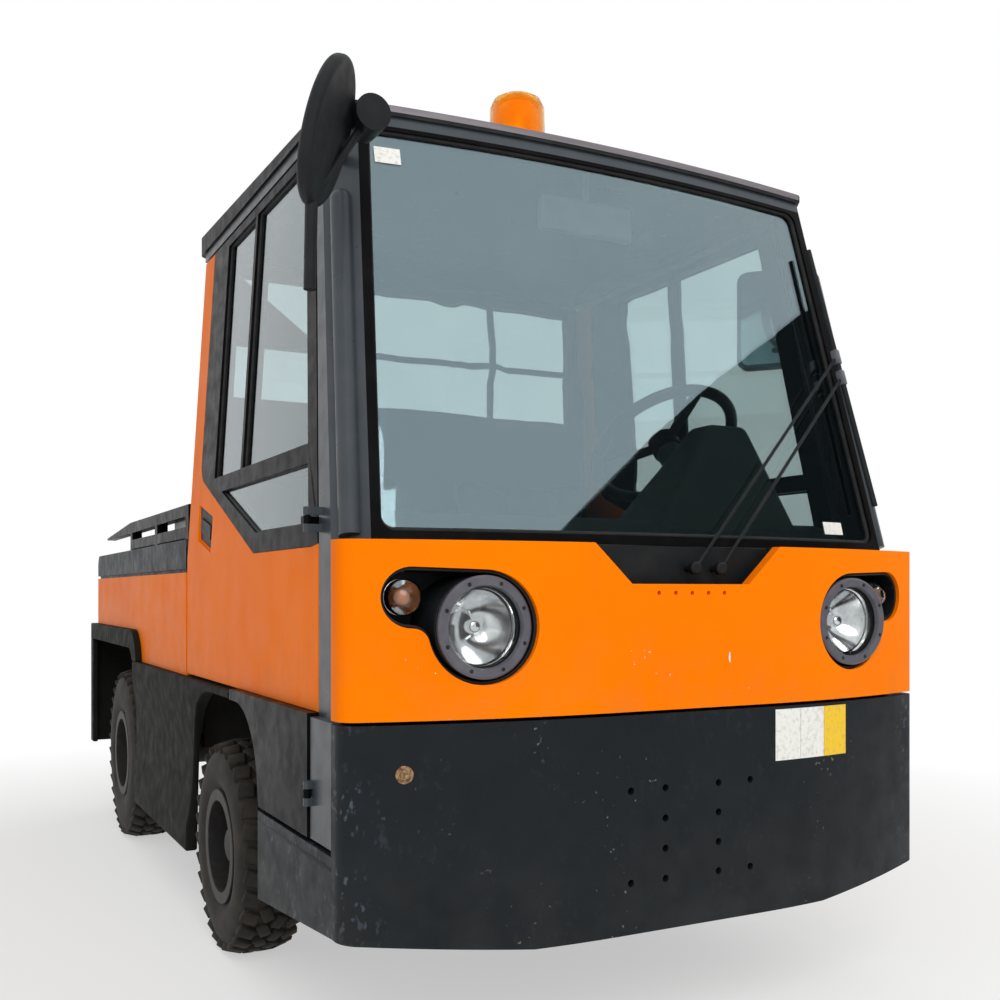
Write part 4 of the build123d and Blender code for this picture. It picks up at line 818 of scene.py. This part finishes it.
# Seats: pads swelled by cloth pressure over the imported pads


PAD_EDGE_R = 22
PAD_DEEP = 78 * MM
PAD_TRAVEL = 14
PAD_ROOM = 9 * MM
SEAM_SHARE = 0.17
SEAM_DEEP = 9 * MM
SEAM_WIDE = 9 * MM


def settled(obj):
    """Works an object's modifiers into its mesh."""
    mesh = bpy.data.meshes.new_from_object(obj.evaluated_get(bpy.context.evaluated_depsgraph_get()))
    obj.modifiers.clear()
    obj.data = mesh


def pad_form(size, centre, lean):
    """Closed pad before it is swelled."""
    shape = bmesh.new()
    place = Matrix.LocRotScale(centre, Euler((lean, 0, 0)), size)
    bmesh.ops.create_cube(shape, size=1, matrix=place)
    rounded(shape, list(shape.edges), PAD_EDGE_R, 3)
    pad = linked("pad", meshed("pad", shape))
    remesh = pad.modifiers.new("remesh", "REMESH")
    remesh.mode = "VOXEL"
    remesh.voxel_size = 6 * MM
    settled(pad)
    return pad


def swell(pad):
    """Cloth pressure from within for twenty frames, each point's travel capped."""
    before = [vert.co.copy() for vert in pad.data.vertices]
    cloth = pad.modifiers.new("cloth", "CLOTH")
    cloth.settings.use_pressure = True
    cloth.settings.uniform_pressure_force = 4
    cloth.settings.effector_weights.gravity = 0
    for number in range(1, 21):
        bpy.context.scene.frame_set(number)
    settled(pad)
    bpy.context.scene.frame_set(1)
    for vert, start in zip(pad.data.vertices, before):
        travel = vert.co - start
        if travel.length > PAD_TRAVEL * MM:
            vert.co = start + travel.normalized() * PAD_TRAVEL * MM
    return pad


def seam(offset, width):
    """Depth of the two sewn channels at an offset from the middle of a pad."""
    lines = (-SEAM_SHARE * width, SEAM_SHARE * width)
    return sum(SEAM_DEEP * math.exp(-((offset - line) / SEAM_WIDE) ** 2) for line in lines)


def seat_pads():
    """Both seats as one padded piece: crowned cushions and backrests with two sewn channels each."""
    low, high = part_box("seats")
    inner = 80 * MM
    width = high.x - inner
    mid_x = (high.x + inner) / 2
    across = width - 2 * PAD_ROOM
    cushion_z = low.z + 45 * MM
    length = 432 * MM
    cushion_y = low.y + PAD_ROOM + length / 2
    cushion = swell(pad_form((across, length, PAD_DEEP), (mid_x, cushion_y, cushion_z), 0))
    back_h = 312 * MM
    lean = math.radians(-8)
    back_z = high.z - PAD_ROOM - back_h / 2
    back_y = high.y - 66 * MM
    rest = swell(pad_form((across, PAD_DEEP, back_h), (mid_x, back_y, back_z), lean))
    for vert in cushion.data.vertices:
        vert.co.z = max(vert.co.z, low.z + 1 * MM)
        lift = max(0, min(1, (vert.co.z - cushion_z) / (PAD_DEEP / 2)))
        vert.co.z -= lift * seam(vert.co.x - mid_x, width)
    for vert in rest.data.vertices:
        face_y = back_y + (vert.co.z - back_z) * math.tan(-lean)
        lift = max(0, min(1, (face_y - vert.co.y) / (PAD_DEEP / 2)))
        vert.co.y += lift * seam(vert.co.x - mid_x, width)
    shape = bmesh.new()
    for pad in (cushion, rest):
        shape.from_mesh(pad.data)
        bpy.data.objects.remove(pad)
    bmesh.ops.mirror(shape, geom=list(shape.verts) + list(shape.edges) + list(shape.faces), axis="X",
                     merge_dist=0)
    piece = finished("seat_pads", shape, FINISH["seat_cover"], CHASSIS, 180)
    fine = piece.modifiers.new("fine", "SUBSURF")
    fine.levels = 1
    fine.render_levels = 1
    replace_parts(piece, "seats")


seat_pads()


# Trim


def bent_strip(shape, centre, radius, start, end, z0, z1, proud_mm, steps=24):
    """Thin strip on an upright curved face: angles in radians from -Y towards +X about centre."""
    centre = Vector((centre[0], centre[1], 0))
    near = radius - 1.5 * MM
    far = radius + proud_mm * MM
    corners = [(near, z0), (far, z0), (far, z1), (near, z1)]
    along = Vector((math.sin(start), -math.cos(start), 0))
    verts = [shape.verts.new(centre + along * r + Vector((0, 0, z))) for r, z in corners]
    edges = [shape.edges.new((verts[k], verts[(k + 1) % 4])) for k in range(4)]
    bmesh.ops.spin(shape, geom=verts + edges, cent=centre, axis=(0, 0, 1), angle=end - start, steps=steps)
    bmesh.ops.holes_fill(shape, edges=[edge for edge in shape.edges if edge.is_boundary], sides=4)


def arc_radius(half, rise):
    """Radius of an arc from its half width and its rise."""
    return (half ** 2 + rise ** 2) / (2 * rise)


NOSE_HALF = 0.650
NOSE_FLAT = 0.160
NOSE_R = arc_radius(NOSE_HALF - NOSE_FLAT, CORNER_Y - NOSE_Y)
LABEL_Z = (0.513, 0.611)
LABEL_FIELDS = ((0.197, 0.262, "label_left", WHITE_VINYL), (0.263, 0.327, "label_middle", WHITE_VINYL),
                (0.328, 0.393, "label_right", YELLOW_VINYL))
BOLT_X = -0.549
BOLT_Z = 0.536
CHIP_X = 0.087
CHIP_Z = 0.714


def nose_angle(x):
    """Angle along the swept nose at a distance x from the middle."""
    return math.asin((abs(x) - NOSE_FLAT) / NOSE_R)


def nose_y(x):
    """Y of the bumper's face at x."""
    return NOSE_Y + NOSE_R * (1 - math.cos(nose_angle(x)))


def roof_lip_painted_light():
    """Pale strip of painted reflection along the bowed front edge of the roof, over a thin black strip of
    painted shadow under the lip.
    """
    low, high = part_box("roof")
    half = high.x - 46 * MM
    radius = arc_radius(half, 35 * MM)
    reach = math.asin((half - 4 * MM) / radius)
    centre = (0, low.y + radius)
    strip = bmesh.new()
    # Painted reflection: pale strip along the top of the lip
    bent_strip(strip, centre, radius, -reach, reach, low.z + 3 * MM, low.z + 15 * MM, 1.2, 60)
    finished("roof_painted_reflection_strip", strip, ROOF_REFLECTION, CHASSIS)
    shadow_line = bmesh.new()
    # Painted shade: thin black strip along the lip's lower edge
    bent_strip(shadow_line, centre, radius, -reach, reach, low.z - 4 * MM, low.z + 2.6 * MM, 0.6, 60)
    finished("roof_painted_shadow_line", shadow_line, RUBBER, CHASSIS)


def bumper_marks():
    """Blank three-field label, a rusty bolt head, a paint chip on the panel over it."""
    sweep_centre = (NOSE_FLAT, NOSE_Y + NOSE_R)
    for x0, x1, name, finish in LABEL_FIELDS:
        shape = bmesh.new()
        bent_strip(shape, sweep_centre, NOSE_R, nose_angle(x0), nose_angle(x1), *LABEL_Z, 0.5, 8)
        finished(name, shape, finish, CHASSIS)
    lean = nose_angle(BOLT_X)
    spot = Vector((BOLT_X, nose_y(BOLT_X), BOLT_Z))
    out = (-math.sin(lean), -math.cos(lean), 0)
    bolt = bmesh.new()
    turned(bolt, [(-1, 0), (-1, 15), (1.5, 15), (2, 13), (2, 0)], spot, out, 28)
    turned(bolt, [(2, 0), (2, 9.5), (7.5, 9.5), (9, 8), (9, 0)], spot, out, 6)
    finished("bumper_bolt", bolt, RUST, CHASSIS, 30)
    chip = bmesh.new()
    upright = Euler((math.radians(90), 0, 0.3))
    place = Matrix.LocRotScale((CHIP_X, NOSE_Y - 0.15 * MM, CHIP_Z), upright, (5 * MM, 10 * MM, 1))
    bmesh.ops.create_circle(chip, cap_ends=True, segments=9, radius=1, matrix=place)
    bmesh.ops.solidify(chip, geom=list(chip.faces), thickness=0.5 * MM)
    finished("paint_chip", chip, WHITE_VINYL, CHASSIS)


MIRROR_INSET = 62 * MM
MIRROR_T = 2.4 * MM
LEFT_MIRROR_BACK = 460
LEFT_MIRROR_YAW = math.radians(38)
RIGHT_MIRROR_BACK = 26
RIGHT_MIRROR_YAW = math.radians(-36.5)
RIGHT_MIRROR_LEAN = math.radians(15)


def mirror_glasses():
    """Silvered faces let into both mirror heads."""
    low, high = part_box("mirror_left")
    middle = Vector((high.x - MIRROR_INSET, back(LEFT_MIRROR_BACK), (low.z + high.z) / 2))
    glass = bmesh.new()
    place = Matrix.Translation(middle) @ Matrix.Rotation(LEFT_MIRROR_YAW, 4, "Z")
    place = place @ Matrix.Translation((-13.2 * MM, 0, 0))
    place = place @ Matrix.Diagonal((MIRROR_T, 146 * MM, 224 * MM, 1))
    bmesh.ops.create_cube(glass, size=1, matrix=place)
    ends = [edge for edge in glass.edges if abs(edge.calc_length() - MIRROR_T) < 0.1 * MM]
    rounded(glass, ends, 18, 6)
    finished("mirror_glass_left", glass, SILVER, "door_left")
    low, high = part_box("mirror_right")
    middle = Vector((low.x + MIRROR_INSET, back(RIGHT_MIRROR_BACK), high.z - 122.5 * MM))
    turn = Matrix.Rotation(RIGHT_MIRROR_YAW, 4, "Z") @ Matrix.Rotation(RIGHT_MIRROR_LEAN, 4, "Y")
    oval = bmesh.new()
    place = Matrix.Translation(middle) @ turn @ Matrix.Translation((-13.6 * MM, 0, 0))
    place = place @ Matrix.Rotation(math.radians(90), 4, "Y") @ Matrix.Diagonal((109 * MM, 66 * MM, 1, 1))
    bmesh.ops.create_circle(oval, cap_ends=True, segments=48, radius=1, matrix=place)
    bmesh.ops.solidify(oval, geom=list(oval.faces), thickness=2 * MM)
    finished("mirror_glass_right", oval, SILVER, CHASSIS)


HANDLE_FRONT = 985
HANDLE_REAR = 1135
HANDLE_RISE = 45 * MM
HANDLE_SLANT = 38 * MM
HANDLE_H = 88 * MM
HANDLE_FLOOR_X = 0.6184
LEVER_X = 0.6215


def door_handle(label, side):
    """Black cup and lever in the slanted handle recess."""
    rear = back(HANDLE_REAR)
    front = back(HANDLE_FRONT)
    z = BELT_Z + HANDLE_RISE
    drop = HANDLE_SLANT
    tall = HANDLE_H
    floor_x = side * HANDLE_FLOOR_X
    edge = 3 * MM
    corners = [(rear - edge, z + edge), (front + edge, z - drop + edge),
               (front + edge, z - drop + tall - edge), (rear - edge, z + tall - edge)]
    cup = bmesh.new()
    face = cup.faces.new([cup.verts.new((floor_x, y, height)) for y, height in corners])
    bmesh.ops.inset_individual(cup, faces=[face], thickness=7 * MM, depth=0)
    bmesh.ops.solidify(cup, geom=list(cup.faces), thickness=-1.6 * MM * side)
    middle = (side * LEVER_X, (rear + front) / 2, z - drop / 2 + tall / 2)
    place = Matrix.LocRotScale(middle, Euler((math.radians(14.2), 0, 0)), (5 * MM, 104 * MM, 34 * MM))
    bmesh.ops.create_cube(cup, size=1, matrix=place)
    finished("door_handle_" + label, cup, PLASTIC, "door_" + label, 30)


# The screen frame's face: it leans back from its foot, and its bow and width shrink up to the roof
CAB_H = 0.808
SCREEN_BOW = 52
SCREEN_BOW_LOSS = 17
SCREEN_HALF = 0.584
SCREEN_HALF_LOSS = 0.051
SCREEN_FOOT = 31
SCREEN_LEAN = 205
GLASS_BEHIND = 10 * MM


def screen_y(x, z):
    """Y of the screen frame's outer face at x and z."""
    share = (z - BELT_Z) / CAB_H
    bow = SCREEN_BOW - SCREEN_BOW_LOSS * share
    half = SCREEN_HALF - SCREEN_HALF_LOSS * share
    return back(SCREEN_FOOT + SCREEN_LEAN * share - bow * (1 - (x / half) ** 2))


def screen_labels():
    """Two blank stickers on the windscreen."""
    for name, x0, x1, z0, z1 in (("sticker_high", -0.505, -0.455, 1.632, 1.664),
                                 ("sticker_low", 0.420, 0.478, 0.956, 0.982)):
        shape = bmesh.new()
        place = Matrix.LocRotScale(((x0 + x1) / 2, 0, (z0 + z1) / 2), Euler((math.radians(90), 0, 0)),
                                   ((x1 - x0) / 2, (z1 - z0) / 2, 1))
        bmesh.ops.create_grid(shape, x_segments=2, y_segments=2, size=1, matrix=place)
        for vert in shape.verts:
            vert.co.y = screen_y(vert.co.x, vert.co.z) + GLASS_BEHIND
        bmesh.ops.solidify(shape, geom=list(shape.faces), thickness=0.4 * MM)
        finished(name, shape, WHITE_VINYL, CHASSIS)


BLADE_FOOT = Vector((0.568, back(31), 1.020))
BLADE_HEAD = Vector((0.525, back(187), 1.605))
CLIP_SHARES = (0.57, 0.49)
PIVOTS_X = (0.030, 0.090)
PIVOT_Z = 0.880


def wiper_fittings():
    """Clips where the links meet the blade, and caps on the pivots."""
    run = BLADE_HEAD - BLADE_FOOT
    turn = run.to_track_quat("Z", "Y")
    shape = bmesh.new()
    for share in CLIP_SHARES:
        cube(shape, Matrix.LocRotScale(BLADE_FOOT + run * share, turn, (17 * MM, 15 * MM, 34 * MM)), 3)
    finished("wiper_clips", shape, BEZEL, CHASSIS)
    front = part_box("wiper")[0].y - 2 * MM
    profile = [(0, 0), (0, 9), (3, 12), (14, 12), (18, 9), (18, 0)]
    caps = bmesh.new()
    for x in PIVOTS_X:
        turned(caps, profile, (x, front, PIVOT_Z), (0, 1, 0), 28)
    finished("wiper_caps", caps, PLASTIC, CHASSIS)


def rail_board():
    """Blank white board inside the right load rail."""
    shape = bmesh.new()
    block(shape, (-0.570, back(1530), 0.984), (-0.564, back(1700), 1.066), 1.5)
    finished("rail_board", shape, WHITE_VINYL, "deck_lid")


def sill_gap_shade(label, side):
    """Thin dark rubber-finished strip under the door along the bumper's side, painted as the shade of the gap
    between door and bumper.
    """
    shape = bmesh.new()
    low_x, high_x = sorted((side * 0.647, side * 0.6508))
    # Painted shade: dark strip where the gap under the door falls
    block(shape, (low_x, back(46), 0.372), (high_x, back(488), 0.379), 0.6)
    finished("sill_gap_shade_line_" + label, shape, RUBBER, CHASSIS)


roof_lip_painted_light()
bumper_marks()
mirror_glasses()
screen_labels()
wiper_fittings()
rail_board()
for label, side in SIDES:
    door_handle(label, side)
    sill_gap_shade(label, side)

# Camera at the photograph's place, soft light and a pale floor


def make_camera():
    """Camera with the photograph's place and perspective."""
    data = bpy.data.cameras.new("camera")
    data.sensor_fit = "HORIZONTAL"
    data.lens = 36 * 1.114
    data.shift_x = 0.0012
    data.shift_y = 0.0923
    camera = linked("camera", data)
    camera.location = (-1.2565, back(-1716), 0.835)
    camera.rotation_euler = (math.radians(90), 0, math.radians(-27.59))
    bpy.context.scene.camera = camera


def make_light(name, location, target, size, power, through):
    """Round soft lamp that no polished surface mirrors; through says whether glass lets it in."""
    data = bpy.data.lights.new(name, "AREA")
    data.shape = "DISK"
    data.size = size
    data.energy = power
    lamp = linked(name, data)
    lamp.location = location
    lamp.rotation_euler = (Vector(target) - Vector(location)).to_track_quat("-Z", "Y").to_euler()
    lamp.visible_glossy = False
    lamp.visible_transmission = through


def seen_rays(tree):
    """1 for rays from the camera, off a polished surface or through glass."""
    path = add(tree, "ShaderNodeLightPath")
    seen = add(tree, "ShaderNodeMath", {0: path.outputs["Is Camera Ray"], 1: path.outputs["Is Glossy Ray"]},
               operation="MAXIMUM")
    both = add(tree, "ShaderNodeMath", {0: seen.outputs[0], 1: path.outputs["Is Transmission Ray"]},
               operation="MAXIMUM")
    return both.outputs[0]


def make_world():
    """Even pale sky for the light; what is seen of it is plain white."""
    world = bpy.data.worlds.new("studio")
    bpy.context.scene.world = world
    world.use_nodes = True
    tree = world.node_tree
    tree.nodes.clear()
    sky = add(tree, "ShaderNodeBackground", {"Color": (1, 1, 1, 1), "Strength": 0.5})
    white = add(tree, "ShaderNodeBackground", {"Color": (1, 1, 1, 1), "Strength": 1})
    mix = add(tree, "ShaderNodeMixShader", {0: seen_rays(tree), 1: sky.outputs[0], 2: white.outputs[0]})
    add(tree, "ShaderNodeOutputWorld", {"Surface": mix.outputs[0]})


def stage_plane(name, size, place):
    """Flat square of the given size, laid by a matrix and put into the scene."""
    shape = bmesh.new()
    bmesh.ops.create_grid(shape, x_segments=1, y_segments=1, size=size, matrix=place)
    plane = linked(name, meshed(name, shape))
    return plane


def shown(tree, surface):
    """Makes a shader the one that the material shows."""
    output = next(node for node in tree.nodes if node.type == "OUTPUT_MATERIAL")
    tree.links.new(surface, output.inputs["Surface"])


def make_floor():
    """Pale matt floor that keeps the shadow near the tractor and goes to plain white further out."""
    floor = stage_plane("floor", 40, Matrix.Identity(4))
    material, tree, shader, place = new_finish("pale_floor")
    shader.inputs["Base Color"].default_value = linear("#F6F6F4")
    shader.inputs["Roughness"].default_value = 0.9
    shader.inputs["Specular IOR Level"].default_value = 0.1
    away = add(tree, "ShaderNodeVectorMath", {0: place}, operation="LENGTH")
    far = add(tree, "ShaderNodeMapRange", {"Value": away.outputs["Value"], "From Min": 1.4, "From Max": 3.2,
                                           "To Min": 0.5, "To Max": 1})
    white = add(tree, "ShaderNodeEmission", {"Color": (1, 1, 1, 1), "Strength": 1})
    amount = times(tree, far.outputs["Result"], seen_rays(tree))
    mix = add(tree, "ShaderNodeMixShader", {0: amount, 1: shader.outputs["BSDF"], 2: white.outputs[0]})
    shown(tree, mix.outputs[0])
    floor.data.materials.append(material)


def make_flag():
    """Dark board that only polished surfaces see: the screen mirrors it below its sloped top edge."""
    slope = Matrix(((0, 0, 1, 6), (0, 6.6, 0, -9.4), (4.5, -2.55, 0, 2.75), (0, 0, 0, 1)))
    flag = stage_plane("flag", 1, slope)
    material, tree, shader, place = new_finish("flag_felt")
    shader.inputs["Base Color"].default_value = linear("#1C2224")
    shader.inputs["Roughness"].default_value = 1
    path = add(tree, "ShaderNodeLightPath")
    clear = add(tree, "ShaderNodeBsdfTransparent")
    mirrored = {0: path.outputs["Glossy Depth"], 1: clear.outputs[0], 2: shader.outputs["BSDF"]}
    mix = add(tree, "ShaderNodeMixShader", mirrored)
    shown(tree, mix.outputs[0])
    flag.data.materials.append(material)
    flag.visible_camera = False
    flag.visible_diffuse = False
    flag.visible_shadow = False


bpy.context.scene.view_settings.view_transform = "Standard"
make_camera()
make_world()
make_floor()
make_flag()
make_light("key", (-2.2, -6.5, 4.6), (0, -0.6, 0.8), 4.5, 250, True)
make_light("fill", (4.5, -4.0, 3.5), (0, -0.4, 0.8), 4.0, 60, False)
